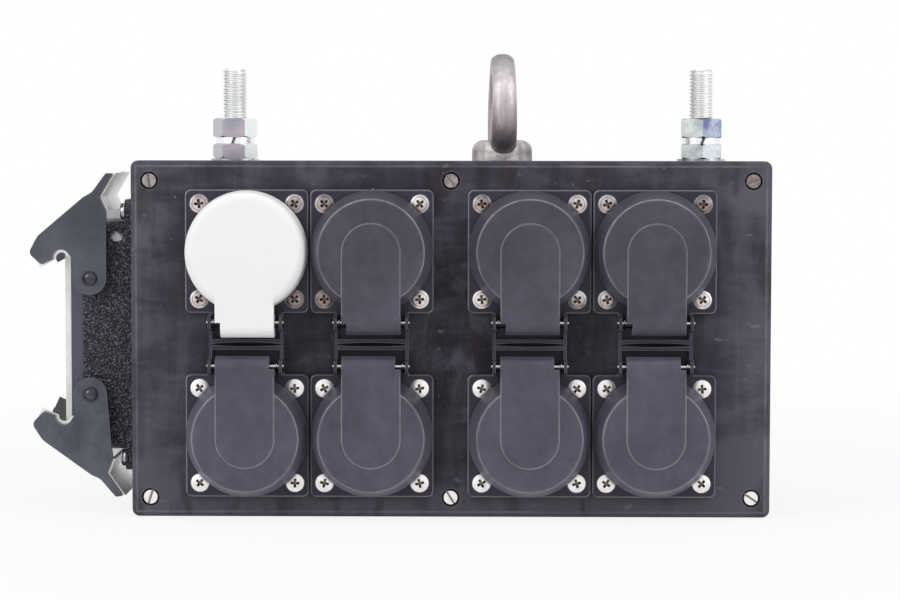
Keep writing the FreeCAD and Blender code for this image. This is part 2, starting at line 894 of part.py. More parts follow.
def make_face_seal():
    length = cavity_length + 2 * face_seal_width
    width = cavity_width + 2 * face_seal_width
    end_x = rim_end_x - face_seal_thickness
    ring = plate_zy(length, width, cavity_round + face_seal_width, rim_end_x, end_x)
    return ring.cut(plate_zy(cavity_length, cavity_width, cavity_round, rim_end_x, end_x))


def make_housing_gasket():
    sheet = plate_zy(housing_flange_length, housing_width, housing_corner, wall_x, housing_base_x)
    holes = [plate_zy(connector_cut_length, connector_cut_width, cavity_round, wall_x, housing_base_x)]
    for y, z in housing_hole_places:
        end = Vec(housing_base_x, y, z)
        holes.append(rod(housing_shank_radius + screw_play, Vec(wall_x, y, z), end))
    return sheet.cut(holes)


def make_housing_screws():
    screws = []
    for y, z in housing_hole_places:
        seat = Vec(flange_face_x, y, z)
        head = rod(housing_head_radius, seat, Vec(flange_face_x - housing_head_height, y, z))
        shank = rod(housing_shank_radius, seat, Vec(wall_x + body_wall, y, z))
        screws.append(head.fuse(shank))
    return group(screws)


def power_pin_places():
    places = []
    for column in range(power_pins_per_row):
        z = connector_z + (column - (power_pins_per_row - 1) / 2) * power_pin_pitch
        for side in (-1, 1):
            places.append((side * power_row_pitch / 2, z))
    return places


def make_insert():
    block = plate_zy(insert_body_length, insert_body_width, cavity_round, insert_face_x, insert_tail_x)
    lug_length = cavity_length - 2 * ledge_play
    lug_width = insert_body_width / 2
    lug_end = flange_face_x - lug_thickness
    lug = plate_zy(lug_length, lug_width, 0, flange_face_x, lug_end)
    solid = block.fuse(lug).removeSplitter()
    cuts = []
    for y, z in power_pin_places():
        start = Vec(insert_face_x, y, z)
        cuts.append(rod(power_pin_radius + press_play, start, Vec(insert_tail_x, y, z)))
    for z in lug_screw_heights():
        cuts.append(rod(lug_screw_radius + screw_play, Vec(lug_end, 0, z), Vec(flange_face_x, 0, z)))
    return solid.cut(cuts)


def make_power_pins():
    pins = []
    for y, z in power_pin_places():
        start = Vec(insert_face_x - power_pin_reach, y, z)
        pin = rod(power_pin_radius, start, Vec(insert_tail_x + power_pin_tail, y, z))
        pins.append(pin.makeChamfer(power_pin_radius / 3, [pin.Edges[0], pin.Edges[2]]))
    return group(pins)


def make_insert_screws():
    screws = []
    seat_x = flange_face_x - lug_thickness
    for z in lug_screw_heights():
        seat = Vec(seat_x, 0, z)
        head = rod(lug_head_radius, seat, Vec(seat_x - lug_head_height, 0, z))
        screws.append(head.fuse(rod(lug_screw_radius, seat, Vec(housing_base_x, 0, z))))
    return group(screws)


# Locking levers: painted plates on the near and far side, with a bright cam and handle web between them
def arc_edge(first, middle, last):
    points = [Vec(u, 0, v) for u, v in (first, middle, last)]
    return Part.Arc(points[0], points[1], points[2]).toShape()


def line_edge(first, last):
    return Part.makeLine(Vec(first[0], 0, first[1]), Vec(last[0], 0, last[1]))


def lever_plate(radius, notch, end, edge_points):
    """Plate outline from boss to hook; edge_points run from the right edge over the top to the hook tip."""
    left = (-radius, notch_arm_v)
    right = (radius, 0)
    angle_in = math.radians(notch_arm_angle)
    angle_out = math.radians(notch_hook_angle)
    notch_in = (notch_u + notch * math.cos(angle_in), notch_v + notch * math.sin(angle_in))
    notch_top = (notch_u, notch_v + notch)
    notch_out = (notch_u + notch * math.cos(angle_out), notch_v + notch * math.sin(angle_out))
    edges = [arc_edge((-radius, 0), (0, -radius), right)]
    path = [right] + edge_points + [end, notch_out]
    for first, last in zip(path, path[1:]):
        edges.append(line_edge(first, last))
    edges.append(arc_edge(notch_out, notch_top, notch_in))
    edges.append(line_edge(notch_in, left))
    edges.append(line_edge(left, (-radius, 0)))
    return Part.Face(Part.Wire(edges))


def upright_edges(shape, spots):
    """Edges along Y that stand at the given (u, v) spots."""
    picked = []
    for edge in shape.Edges:
        limits = edge.BoundBox
        if limits.XLength > 1e-4 or limits.ZLength > 1e-4:
            continue
        for u, v in spots:
            if abs(limits.XMin - u) < 1e-4 and abs(limits.ZMin - v) < 1e-4:
                picked.append(edge)
    return picked


def mirrored_y(shape):
    return shape.mirror(ORIGIN, Y_DIR)


def pivot_bore():
    radius = pivot_radius + pivot_play
    return rod(radius, Vec(0, -lever_outer_y, 0), Vec(0, lever_outer_y, 0))


# Inner edge of the handle from its foot to its tip
handle_edge = [(toe_u, toe_v), (crook_u, crook_v), (handle_tip_u + handle_tip_width, handle_tip_v)]


def make_lever():
    """Near and far plate of one lever."""
    handle_tip = (handle_tip_u, handle_tip_v)
    bend = (bend_u, bend_v)
    belly = (belly_u, belly_v)
    shoulder = (shoulder_u, shoulder_v)
    tip = (hook_tip_u, hook_tip_v)
    end = (hook_end_u, hook_end_v)
    edge_points = handle_edge + [handle_tip, bend, belly, shoulder, tip]
    face = lever_plate(lever_boss_radius, notch_radius, end, edge_points)
    face.translate(Vec(0, -lever_outer_y, 0))
    plate = face.extrude(Vec(0, lever_thickness, 0))
    roundings = [
        (handle_tip_round, [handle_tip, handle_edge[2]]),
        (bend_round, [bend]),
        (belly_round, [belly]),
        (shoulder_round, [shoulder]),
        (hook_tip_round, [tip]),
        (hook_end_round, [end]),
    ]
    for radius, spots in roundings:
        plate = plate.makeFillet(radius, upright_edges(plate, spots))
    plate = plate.cut(pivot_bore())
    return group([plate, mirrored_y(plate)])


def make_cam():
    """Bright cam plates inside the painted ones, joined by the web that is also the handle."""
    shoulder = (shoulder_u + cam_inset, shoulder_v - cam_inset)
    tip = (hook_tip_u + cam_inset, hook_tip_v)
    end = (cam_end_u, cam_end_v)
    radius = lever_boss_radius - cam_inset
    top = (bend_u - cam_inset, bend_v - 2 * cam_inset)
    face = lever_plate(radius, notch_cam_radius, end, handle_edge[:2] + [top, shoulder, tip])
    face.translate(Vec(0, -lever_y, 0))
    plate = face.extrude(Vec(0, cam_thickness, 0))
    back = [(u - web_back, v, 0) for u, v in handle_edge]
    front = [(u + web_front, v, 0) for u, v in handle_edge]
    web = slab_xz(back + front[::-1], -lever_y, lever_y)
    return plate.fuse([mirrored_y(plate), web]).removeSplitter().cut(pivot_bore())


def place_lever(shape, upper):
    """The lower lever is the upper one turned over about the X axis."""
    angle = upper_lever_open if upper else lower_lever_open
    shape = turned(shape, Y_DIR, angle)
    if not upper:
        shape = turned(shape, X_DIR, 180)
    height = pivot_heights()[0 if upper else 1]
    return moved(shape, pivot_x, 0, height)


def make_pivots():
    pivots = []
    face = housing_width / 2
    head_start = lever_outer_y + pivot_head_gap
    for side in (-1, 1):
        for z in pivot_heights():
            stem_end = Vec(pivot_x, side * (face - pivot_stem_length), z)
            stem = rod(pivot_stem_radius, stem_end, Vec(pivot_x, side * face, z))
            body = rod(pivot_radius, Vec(pivot_x, side * face, z), Vec(pivot_x, side * head_start, z))
            head_end = Vec(pivot_x, side * (head_start + pivot_head_height), z)
            head = rod(pivot_head_radius, Vec(pivot_x, side * head_start, z), head_end)
            pivots.append(stem.fuse([body, head]))
    return group(pivots)


# Assembly
nodes = {
    "enclosure_body": make_body(),
    "front_cover": make_cover(),
    "cover_gasket": make_cover_gasket(),
    "cover_screws": make_cover_screws(),
    "cover_inserts": make_cover_inserts(),
    "flange_gaskets": at_all_sockets(make_flange_gasket()),
    "hinge_pins": at_all_sockets(make_hinge_pin()),
    "lid_springs": at_all_sockets(make_lid_spring()),
    "contact_carriers": at_all_sockets(make_carrier()),
    "earth_clips": at_all_sockets(make_earth_clip()),
    "left_stud": make_stud(left_stud_x),
    "right_stud": make_stud(right_stud_x),
    "flat_washers": make_flat_washers(),
    "lower_nuts": make_on_studs(lower_nut_height, washer_top),
    "spring_washers": group([moved(make_spring_washer(), x, 0, lower_nut_top) for x, turn in stud_places]),
    "upper_nuts": make_on_studs(upper_nut_height, spring_washer_top),
    "inner_nuts": make_inner_nuts(),
    "backing_plate": make_backing_plate(),
    "lifting_eye": make_lifting_eye(),
    "connector_housing": make_housing(),
    "connector_face_seal": make_face_seal(),
    "connector_gasket": make_housing_gasket(),
    "connector_screws": make_housing_screws(),
    "connector_insert": make_insert(),
    "power_pins": make_power_pins(),
    "insert_screws": make_insert_screws(),
    "upper_lever": place_lever(make_lever(), True),
    "upper_lever_cam": place_lever(make_cam(), True),
    "lower_lever": place_lever(make_lever(), False),
    "lower_lever_cam": place_lever(make_cam(), False),
    "lever_pivots": make_pivots(),
}

socket = make_socket()
lid = make_lid(lid_face_radius, lid_face_edge, tongue_rise, barrel_reach)
plain_lid = make_lid(plain_lid_face_radius, plain_lid_face_edge, plain_lid_rise, plain_lid_reach)
lid_seal = make_lid_seal()
contacts = make_contacts()
flange_screw = make_flange_screw()
all_contacts = []
all_flange_screws = []
for number, place in enumerate(socket_places, 1):
    nodes[f"socket_{number}"] = at_socket(socket, place)
    nodes[f"lid_{number}"] = at_socket(plain_lid if number == plain_lid_number else lid, place)
    nodes[f"lid_seal_{number}"] = at_socket(lid_seal, place)
    for contact in contacts:
        all_contacts.append(at_socket(contact, place))
    for hole_x, hole_z in flange_hole_places:
        all_flange_screws.append(at_socket(moved(flange_screw, hole_x, 0, hole_z), place))
nodes["line_contacts"] = group(all_contacts)
nodes["flange_screws"] = group(all_flange_screws)

os.makedirs("parts", exist_ok=True)
for name, shape in nodes.items():
    shape.exportStep(f"parts/{name}.step")
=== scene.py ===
import json
import math
import random

import bmesh
import bpy
from mathutils import Matrix, Vector


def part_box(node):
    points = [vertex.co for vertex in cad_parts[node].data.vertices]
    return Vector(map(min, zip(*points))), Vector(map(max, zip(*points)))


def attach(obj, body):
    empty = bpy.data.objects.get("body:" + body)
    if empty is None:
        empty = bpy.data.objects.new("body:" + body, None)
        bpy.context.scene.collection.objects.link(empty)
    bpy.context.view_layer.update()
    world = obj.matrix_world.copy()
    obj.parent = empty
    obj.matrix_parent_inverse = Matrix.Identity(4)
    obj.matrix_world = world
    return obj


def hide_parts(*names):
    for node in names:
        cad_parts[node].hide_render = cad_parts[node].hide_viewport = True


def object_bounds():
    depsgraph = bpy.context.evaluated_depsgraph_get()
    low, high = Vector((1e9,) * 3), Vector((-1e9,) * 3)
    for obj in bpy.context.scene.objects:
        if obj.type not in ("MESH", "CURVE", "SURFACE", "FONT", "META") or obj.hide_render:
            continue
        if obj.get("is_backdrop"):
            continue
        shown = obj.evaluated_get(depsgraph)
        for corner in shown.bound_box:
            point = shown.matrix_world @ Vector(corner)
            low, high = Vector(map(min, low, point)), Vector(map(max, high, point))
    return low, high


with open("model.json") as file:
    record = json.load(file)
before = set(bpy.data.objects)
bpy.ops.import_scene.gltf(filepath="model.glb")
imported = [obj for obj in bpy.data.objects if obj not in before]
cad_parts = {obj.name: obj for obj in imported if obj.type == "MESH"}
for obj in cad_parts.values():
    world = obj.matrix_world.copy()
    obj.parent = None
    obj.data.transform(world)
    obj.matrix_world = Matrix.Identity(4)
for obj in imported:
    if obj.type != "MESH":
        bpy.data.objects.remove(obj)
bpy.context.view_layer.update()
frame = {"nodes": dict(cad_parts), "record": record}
nodes = frame["nodes"]
scene = bpy.context.scene
scene.view_settings.view_transform = "Standard"
MM = 0.001
QUARTER_TURN = math.pi / 2
draw = random.Random(7)

# Places and sizes of the model, in millimetres
BOX_WIDTH = 258.0
BOX_HEIGHT = 144.0
SOCKET_X = (-81.8, -31.6, 31.6, 81.8)
SOCKET_Z = (107.7, 33.5)
HOLE_REACH = 19.15
FLANGE_FACE_Y = -43.7
COVER_SCREW_Y = -39.6
CONNECTOR_SCREW_X = -136.2
CONNECTOR_SCREW_Y = 16.0
CONNECTOR_SCREW_REACH = 50.8
CONNECTOR_MIDDLE_Z = 72.0
STUD_RADIUS = 5.0
STUD_PITCH = 1.5
STUD_CHAMFER = 1.0
LARGEST_STUD_TURN = 6.0
PIVOT_HEAD = 3.0

# Places that the finishes follow, in metres
PAIR_X = (SOCKET_X[2] + SOCKET_X[3]) / 2 * MM
PAIR_HALF = (SOCKET_X[3] - SOCKET_X[2]) / 2 * MM
ROW_HALF = (SOCKET_Z[0] - SOCKET_Z[1]) / 2 * MM
HINGE_MIDDLE_Z = (SOCKET_Z[0] + SOCKET_Z[1]) / 2 * MM
LID_FACE_RADIUS = 0.0212
EYE_X = 0.0209
EYE_FOOT_Z = 0.1505
EYE_TOP_Z = 0.190
RIM_BAND_X = -0.1510
HOOK_X = -0.1585
lid_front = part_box("lid_2")[0].y
lower_nut_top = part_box("lower_nuts")[1].z

# Start and end of the fades along an axis, in metres
BOTTOM_STRIP_Z = (0.024, 0.006)
LEFT_STRIP_X = (-0.095, -0.122)
RIGHT_STRIP_X = (0.09, 0.122)
RIGHT_STRIP_Z = (0.13, 0.09)
LID_LIGHT_Z = (0.008, 0.135)
UPPER_RIM_Z = (0.112, 0.129)
UPPER_ROW_Z = (0.058, 0.082)
UPPER_LEVER_Z = (0.092, 0.118)
FAR_HOOK_Y = (-0.011, -0.010)

# Start and end of the fades measured from a place on the model, in metres
FROM_HINGES = (0.0115, 0.013)
BEHIND_TONGUE = (0.0003, 0.0005)
WHITE_RIM = (0.001, 0.003)
OUTSIDE_LID_FACE = (0.0, 0.0005)
DRIVE_DEPTH = (0.0001, 0.0006)
DRIVE_STAIN = (0.0022, 0.0028)
ABOVE_LOWER_NUT = (0.0, 0.0005)
SHADED_THREAD = (-0.0045, 0.001)
THREAD_GROOVE = (0.0043, 0.0049)
ABOVE_EYE_COLLAR = (0.003, 0.004)
BAND_EDGE = (-0.00005, 0.00005)
HOOK_FADE = (0.0, 0.001)


def shifted(start, fade):
    """The two ends of a fade, moved along by start."""
    return start + fade[0], start + fade[1]


# Node-tree helper
class Finish:
    """One procedural material; textures follow the object's own coordinates, in metres."""

    def __init__(self, name):
        self.material = bpy.data.materials.new(name)
        self.material.use_nodes = True
        self.tree = self.material.node_tree
        self.shader = self.tree.nodes["Principled BSDF"]
        places = self.tree.nodes.new("ShaderNodeTexCoord")
        self.place = places.outputs["Object"]
        self.facing = places.outputs["Normal"]

    def node(self, kind, inputs=(), **settings):
        made = self.tree.nodes.new(kind)
        for key, value in settings.items():
            setattr(made, key, value)
        for key, value in dict(inputs).items():
            self.put(value, made.inputs[key])
        return made

    def put(self, value, socket):
        if isinstance(value, bpy.types.NodeSocket):
            self.tree.links.new(value, socket)
        else:
            socket.default_value = value

    def set(self, **values):
        for key, value in values.items():
            self.put(value, self.shader.inputs[key.replace("_", " ")])

    def axis(self, name):
        return self.parts(self.place)[name]

    def parts(self, vector):
        return self.node("ShaderNodeSeparateXYZ", {"Vector": vector}).outputs

    def stretched(self, scale):
        made = self.node("ShaderNodeMapping", {"Vector": self.place, "Scale": scale})
        return made.outputs["Vector"]

    def noise(self, scale, detail=4.0, roughness=0.55, place=None, distortion=0.0):
        made = self.node(
            "ShaderNodeTexNoise",
            {
                "Vector": place or self.place,
                "Scale": scale,
                "Detail": detail,
                "Roughness": roughness,
                "Distortion": distortion,
            },
        )
        return made.outputs["Fac"]

    def cells(self, scale, feature="F1"):
        made = self.node("ShaderNodeTexVoronoi", {"Vector": self.place, "Scale": scale}, feature=feature)
        return made.outputs["Distance"]

    def ramp(self, value, *stops):
        """Stops are (position, colour) with a colour of 3 numbers, or one number for a grey."""
        made = self.node("ShaderNodeValToRGB", {"Fac": value})
        points = made.color_ramp.elements
        while len(points) < len(stops):
            points.new(0.5)
        for point, (position, colour) in zip(points, stops):
            if isinstance(colour, (int, float)):
                colour = (colour, colour, colour)
            point.position = position
            point.color = (*colour, 1.0)
        return made.outputs["Color"]

    def span(self, value, low, high, out_low, out_high):
        made = self.node(
            "ShaderNodeMapRange",
            {"Value": value, "From Min": low, "From Max": high, "To Min": out_low, "To Max": out_high},
        )
        return made.outputs["Result"]

    def math(self, operation, first, second=0.0):
        made = self.node("ShaderNodeMath", {0: first, 1: second}, operation=operation)
        return made.outputs["Value"]

    def times(self, first, second):
        return self.math("MULTIPLY", first, second)

    def minus(self, first, second):
        return self.math("SUBTRACT", first, second)

    def total(self, first, *others):
        for other in others:
            first = self.math("ADD", first, other)
        return first

    def vector(self, operation, first, second=(0.0, 0.0, 0.0)):
        return self.node("ShaderNodeVectorMath", {0: first, 1: second}, operation=operation).outputs

    def mix(self, share, first, second, mode="MIX"):
        made = self.node("ShaderNodeMix", data_type="RGBA", blend_type=mode)
        self.put(share, made.inputs[0])
        for value, socket in ((first, made.inputs[6]), (second, made.inputs[7])):
            if isinstance(value, tuple):
                value = (*value, 1.0)[:4]
            self.put(value, socket)
        return made.outputs[2]

    def bump(self, height, depth, strength=1.0, before=None):
        inputs = {"Height": height, "Distance": depth, "Strength": strength}
        if before is not None:
            inputs["Normal"] = before
        return self.node("ShaderNodeBump", inputs).outputs["Normal"]

    def away(self, centre, reach):
        """Distance from a centre, with a reach along each axis that counts as 1."""
        offset = self.vector("SUBTRACT", self.place, centre)["Vector"]
        scaled = self.vector("DIVIDE", offset, reach)["Vector"]
        return self.vector("LENGTH", scaled)["Value"]

    def edges(self, radius):
        """Mask that is 1 along the edges of the shape and fades out over the radius."""
        rounded = self.node("ShaderNodeBevel", {"Radius": radius}).outputs["Normal"]
        plain = self.node("ShaderNodeNewGeometry").outputs["Normal"]
        turned = self.vector("DOT_PRODUCT", rounded, plain)["Value"]
        return self.span(turned, 0.998, 0.94, 0.0, 1.0)

    def line(self, value, centre, half):
        """Mask of a thin line where the value passes the centre."""
        off = self.math("ABSOLUTE", self.minus(value, centre))
        return self.span(off, half * 0.5, half * 1.5, 1.0, 0.0)

    def mirrored(self, name, centre, half_pitch=0.0):
        """Distance along one axis from the nearer of two places, half a pitch each side of the centre."""
        off = self.math("ABSOLUTE", self.minus(self.axis(name), centre))
        return self.math("ABSOLUTE", self.minus(off, half_pitch))

    def socket_offsets(self):
        """Distances to the side of the nearest socket's axis, and above or below it."""
        side = self.minus(self.mirrored("X", 0.0, PAIR_X), PAIR_HALF)
        rise = self.mirrored("Z", HINGE_MIDDLE_Z, ROW_HALF)
        return self.math("ABSOLUTE", side), rise

    def long_side(self, side, rise):
        return self.math("SQRT", self.total(self.times(side, side), self.times(rise, rise)))

    def from_socket_axis(self):
        """Distance from the axis of the nearest socket."""
        return self.long_side(*self.socket_offsets())

    def from_flange_screw(self):
        """Distance from the axis of the nearest flange screw."""
        side, rise = self.socket_offsets()
        return self.long_side(self.minus(side, HOLE_REACH * MM), self.minus(rise, HOLE_REACH * MM))

    def dots(self, scale, size, patch_scale):
        """Mask of small dust dots that gather in patches."""
        near = self.span(self.cells(scale), size * 0.6, size, 1.0, 0.0)
        return self.times(near, self.span(self.noise(patch_scale, 2.0), 0.50, 0.62, 0.0, 0.8))

    def brushed(self, roughness, scratch_scale, pit, metallic=True):
        """Metal whose fine scratches change its gloss, with small pits."""
        scratch = self.noise(scratch_scale, 3.0, 0.6, self.stretched((0.15, 1.0, 1.0)))
        if metallic:
            self.set(Metallic=1.0)
        self.set(
            Roughness=self.span(scratch, 0.3, 0.7, roughness - 0.06, roughness + 0.08),
            Normal=self.bump(self.noise(scratch_scale, 3.0), pit, 0.6),
        )


# Materials
BLACK_SPECULAR = 0.3
COVER_MIDDLE = (0.0, 0.0, 0.078)
COVER_REACH = (0.135, 1.0, 0.08)
COVER_LINE_INSET = 0.0022
COVER_LINE_HALF = 0.0004
COVER_EDGE_HIGHLIGHT = (0.17, 0.165, 0.19)


def moulded_rubber():
    """Tough black case rubber: mottled, smeared and dust-flecked, with painted reflection that makes it
    paler towards its outside edges.
    """
    f = Finish("case_rubber")
    blotch = f.noise(26.0, 6.0, 0.62)
    smear = f.noise(75.0, 6.0, 0.65, f.stretched((0.35, 1.0, 1.3)), 0.8)
    streak = f.noise(48.0, 5.0, 0.65, f.stretched((1.7, 1.0, 0.25)), 1.0)
    tone = f.total(f.times(blotch, 0.45), f.times(smear, 0.30), f.times(streak, 0.25))
    outward = f.away(COVER_MIDDLE, COVER_REACH)
    # Painted reflection: the colour is lifted towards the outer edges and along the bottom, right and left
    # strips, and lowered in the middle.
    right_strip = f.span(f.axis("X"), *RIGHT_STRIP_X, 0.0, 0.13)
    painted_light = f.total(
        f.span(outward, 0.3, 1.0, -0.08, 0.045),
        f.span(f.axis("Z"), *BOTTOM_STRIP_Z, 0.0, 0.19),
        f.times(right_strip, f.span(f.axis("Z"), *RIGHT_STRIP_Z, 0.15, 1.0)),
        f.span(f.axis("X"), *LEFT_STRIP_X, 0.0, 0.065),
    )
    contrast = f.span(outward, 0.25, 0.8, 3.0, 1.5)
    tone = f.total(0.5, f.times(f.minus(tone, 0.5), contrast), painted_light)
    colour = f.ramp(
        tone,
        (0.30, (0.012, 0.008, 0.014)),
        (0.50, (0.037, 0.034, 0.049)),
        (0.70, (0.092, 0.088, 0.112)),
    )
    rusty = f.span(f.noise(60.0, 3.0, 0.6, f.stretched((1.5, 1.0, 0.5))), 0.56, 0.68, 0.0, 0.6)
    colour = f.mix(rusty, colour, (0.026, 0.019, 0.022))
    rubbing = f.noise(95.0, 5.0, 0.7, f.stretched((1.0, 1.0, 0.6)), 0.6)
    rubbed = f.times(f.span(rubbing, 0.52, 0.66, 0.0, 0.8), f.span(outward, 0.25, 0.65, 1.0, 0.2))
    colour = f.mix(rubbed, colour, (0.075, 0.071, 0.094))
    # Painted highlight along the rounded edges of the case.
    colour = f.mix(f.times(f.edges(0.0012), 0.4), colour, COVER_EDGE_HIGHLIGHT)
    # Painted highlight: a pale line inset from the outline, where the edge rounding ends.
    inset = f.math(
        "MAXIMUM",
        f.minus(f.mirrored("X", 0.0), BOX_WIDTH / 2 * MM),
        f.minus(f.mirrored("Z", BOX_HEIGHT / 2 * MM), BOX_HEIGHT / 2 * MM),
    )
    fillet_highlight = f.line(inset, -COVER_LINE_INSET, COVER_LINE_HALF)
    colour = f.mix(f.times(fillet_highlight, f.span(smear, 0.35, 0.65, 0.2, 0.8)), colour, COVER_EDGE_HIGHLIGHT)
    scuffs = f.span(f.noise(300.0, 2.0, 0.5, f.stretched((0.45, 1.0, 1.0))), 0.68, 0.74, 0.0, 0.45)
    colour = f.mix(scuffs, colour, (0.20, 0.195, 0.215))
    colour = f.mix(f.dots(190.0, 0.08, 55.0), colour, (0.36, 0.35, 0.36))
    wavy = f.bump(f.noise(38.0, 3.0, 0.5), 0.0006, 0.35)
    f.set(
        Base_Color=colour,
        Roughness=f.span(tone, 0.35, 0.65, 0.38, 0.60),
        Specular_IOR_Level=0.2,
        Normal=f.bump(f.noise(1500.0, 2.0, 0.5), 0.00006, 0.5, wavy),
    )
    return f.material


def moulding_noise(f):
    """Cloud, handling marks and fine grain that the hard mouldings share."""
    cloud = f.noise(45.0, 4.0, 0.55)
    handled = f.noise(160.0, 6.0, 0.65, f.stretched((1.0, 1.0, 0.4)))
    grain = f.bump(f.noise(2300.0, 2.0, 0.5), 0.00005, 0.55)
    return cloud, handled, grain


def moulded_plastic(name, low, high, roughness, edge=None, specular=0.4, dust=0.0, lid=False):
    """Fine-grained moulding with painted highlights along its edges; dust gives it a sheen."""
    f = Finish(name)
    cloud, handled, grain = moulding_noise(f)
    tone = f.total(f.times(cloud, 0.65), f.times(handled, 0.35))
    colour = f.ramp(tone, (0.32, low), (0.68, high))
    if edge is not None:
        # Painted highlight along the edges, weaker near the hinges.
        from_hinges = f.mirrored("Z", HINGE_MIDDLE_Z)
        painted_light = f.times(f.edges(0.0006), f.span(from_hinges, *FROM_HINGES, 0.2, 0.9))
        colour = f.mix(painted_light, colour, edge)
    if lid:
        colour = lid_shade_and_tone(f, colour, handled, edge)
    f.set(
        Sheen_Weight=dust,
        Sheen_Roughness=0.35,
        Sheen_Tint=(0.86, 0.84, 1.0, 1.0),
        Base_Color=colour,
        Roughness=f.span(handled, 0.3, 0.7, roughness - 0.06, roughness + 0.07),
        Specular_IOR_Level=specular,
        Normal=grain,
    )
    return f.material


def lid_shade_and_tone(f, colour, handled, edge):
    """Colour of a lid: painted light makes it lighter lower down, painted shade darkens the upper rims, and
    a painted highlight rings the face; patches vary the tone at random.
    """
    # Painted light: lighter lower down and darker higher up; the patches vary the tone at random.
    painted_height_light = f.span(f.axis("Z"), *LID_LIGHT_Z, 1.42, 0.86)
    patchy = f.span(f.noise(210.0, 4.0, 0.65), 0.34, 0.66, 0.88, 1.12)
    light_and_patches = f.times(painted_height_light, patchy)
    grey = f.node("ShaderNodeCombineXYZ")
    for socket in grey.inputs:
        f.put(light_and_patches, socket)
    colour = f.mix(1.0, colour, grey.outputs["Vector"], "MULTIPLY")
    reach = f.from_socket_axis()
    # Painted shade on the upper rims of the lids.
    upper_rim_shade = f.times(
        f.span(reach, *shifted(LID_FACE_RADIUS, OUTSIDE_LID_FACE), 0.0, 1.0),
        f.span(f.axis("Z"), *UPPER_RIM_Z, 0.0, 0.6),
    )
    colour = f.mix(upper_rim_shade, colour, (0.016, 0.015, 0.021))
    # Painted highlight: a pale ring round the lid face.
    ring = f.times(f.line(reach, LID_FACE_RADIUS, 0.00024), f.span(handled, 0.35, 0.65, 0.25, 1.0))
    beside_tongue = f.span(f.axis("Y"), *shifted(lid_front, BEHIND_TONGUE), 0.0, 1.0)
    return f.mix(f.times(ring, beside_tongue), colour, edge)


def white_plastic():
    """Glossy white moulding; painted light makes its rim paler than its face."""
    f = Finish("white_lid_plastic")
    cloud, handled, grain = moulding_noise(f)
    face = f.ramp(cloud, (0.32, 0.845), (0.68, 0.87))
    # Painted light: the rim is painted paler than the face to cancel the shade on it.
    rim = f.span(f.axis("Y"), *shifted(lid_front, WHITE_RIM), 0.0, 1.0)
    f.set(
        Base_Color=f.mix(rim, face, (0.93, 0.93, 0.93)),
        Roughness=f.span(handled, 0.3, 0.7, 0.36, 0.49),
        Specular_IOR_Level=0.4,
        Normal=grain,
    )
    return f.material


def soft_rubber():
    f = Finish("gasket_rubber")
    grain = f.noise(1800.0, 3.0, 0.6)
    f.set(
        Base_Color=f.ramp(f.noise(90.0, 4.0), (0.35, 0.008), (0.7, 0.020)),
        Roughness=f.span(grain, 0.3, 0.7, 0.62, 0.8),
        Specular_IOR_Level=BLACK_SPECULAR,
        Normal=f.bump(grain, 0.00005, 0.5),
    )
    return f.material


def pale_seal():
    f = Finish("cream_seal")
    tone = f.noise(120.0, 5.0, 0.6)
    grain = f.noise(1400.0, 2.0)
    f.set(
        Base_Color=f.ramp(tone, (0.3, (0.74, 0.72, 0.72)), (0.7, (0.93, 0.91, 0.92))),
        Roughness=f.span(grain, 0.3, 0.7, 0.5, 0.64),
        Normal=f.bump(grain, 0.00006, 0.5),
    )
    return f.material


def metal(name, low, high, roughness, patch_scale, scratch_scale, pit=0.00003):
    """Plated or drawn metal with cloudy tone, fine scratches and small pits."""
    f = Finish(name)
    f.set(Base_Color=f.ramp(f.noise(patch_scale, 5.0, 0.6), (0.34, low), (0.66, high)))
    f.brushed(roughness, scratch_scale, pit)
    return f.material


def screw_nickel(name, face_y, grime, least, stained=False):
    """Nickel screws; grime sits in the drive below the face, and the upper rows are more tarnished."""
    f = Finish(name)
    cloud = f.noise(480.0, 5.0, 0.7)
    clean = f.ramp(cloud, (0.32, (0.78, 0.73, 0.72)), (0.68, (0.99, 0.97, 0.97)))
    tarnished = f.ramp(cloud, (0.32, (0.13, 0.109, 0.11)), (0.68, (0.38, 0.325, 0.32)))
    dull = f.span(f.noise(41.0, 1.0, 0.4), 0.42, 0.56, least, 1.0)
    dull = f.times(dull, f.span(f.axis("Z"), *UPPER_ROW_Z, 0.0, 1.0))
    colour = f.mix(dull, clean, tarnished)
    if stained:
        reach = f.from_flange_screw()
        upper = f.span(f.axis("Z"), *UPPER_ROW_Z, 0.12, 1.0)
        stain = f.times(f.span(reach, *DRIVE_STAIN, 1.0, 0.0), f.span(cloud, 0.36, 0.6, 0.6, 0.0))
        colour = f.mix(f.times(stain, upper), colour, (0.40, 0.29, 0.24))
        outline = f.times(f.line(reach, DRIVE_STAIN[1], 0.0002), upper)
        colour = f.mix(f.times(outline, 0.6), colour, (0.10, 0.075, 0.068))
    sunk = f.span(f.axis("Y"), *shifted(face_y, DRIVE_DEPTH), 0.0, 0.93)
    f.set(Base_Color=f.mix(sunk, colour, grime))
    f.brushed(0.32, 1500.0, 0.00003)
    return f.material


def polished_pin():
    """Polished spring steel with a painted reflection: a bright streak along the upper side, dark
    elsewhere.
    """
    f = Finish("pin_steel")
    # Painted reflection set by the way the surface faces.
    height = f.span(f.parts(f.facing)["Z"], -1.0, 1.0, 0.0, 1.0)
    streak = f.ramp(height, (0.45, 0.02), (0.56, 0.10), (0.66, 0.72), (0.76, 0.60), (0.86, 0.05))
    f.set(Base_Color=f.mix(0.35, streak, f.ramp(f.noise(500.0), (0.35, 0.02), (0.65, 0.9)), "MULTIPLY"))
    f.brushed(0.20, 1500.0, 0.00001)
    return f.material


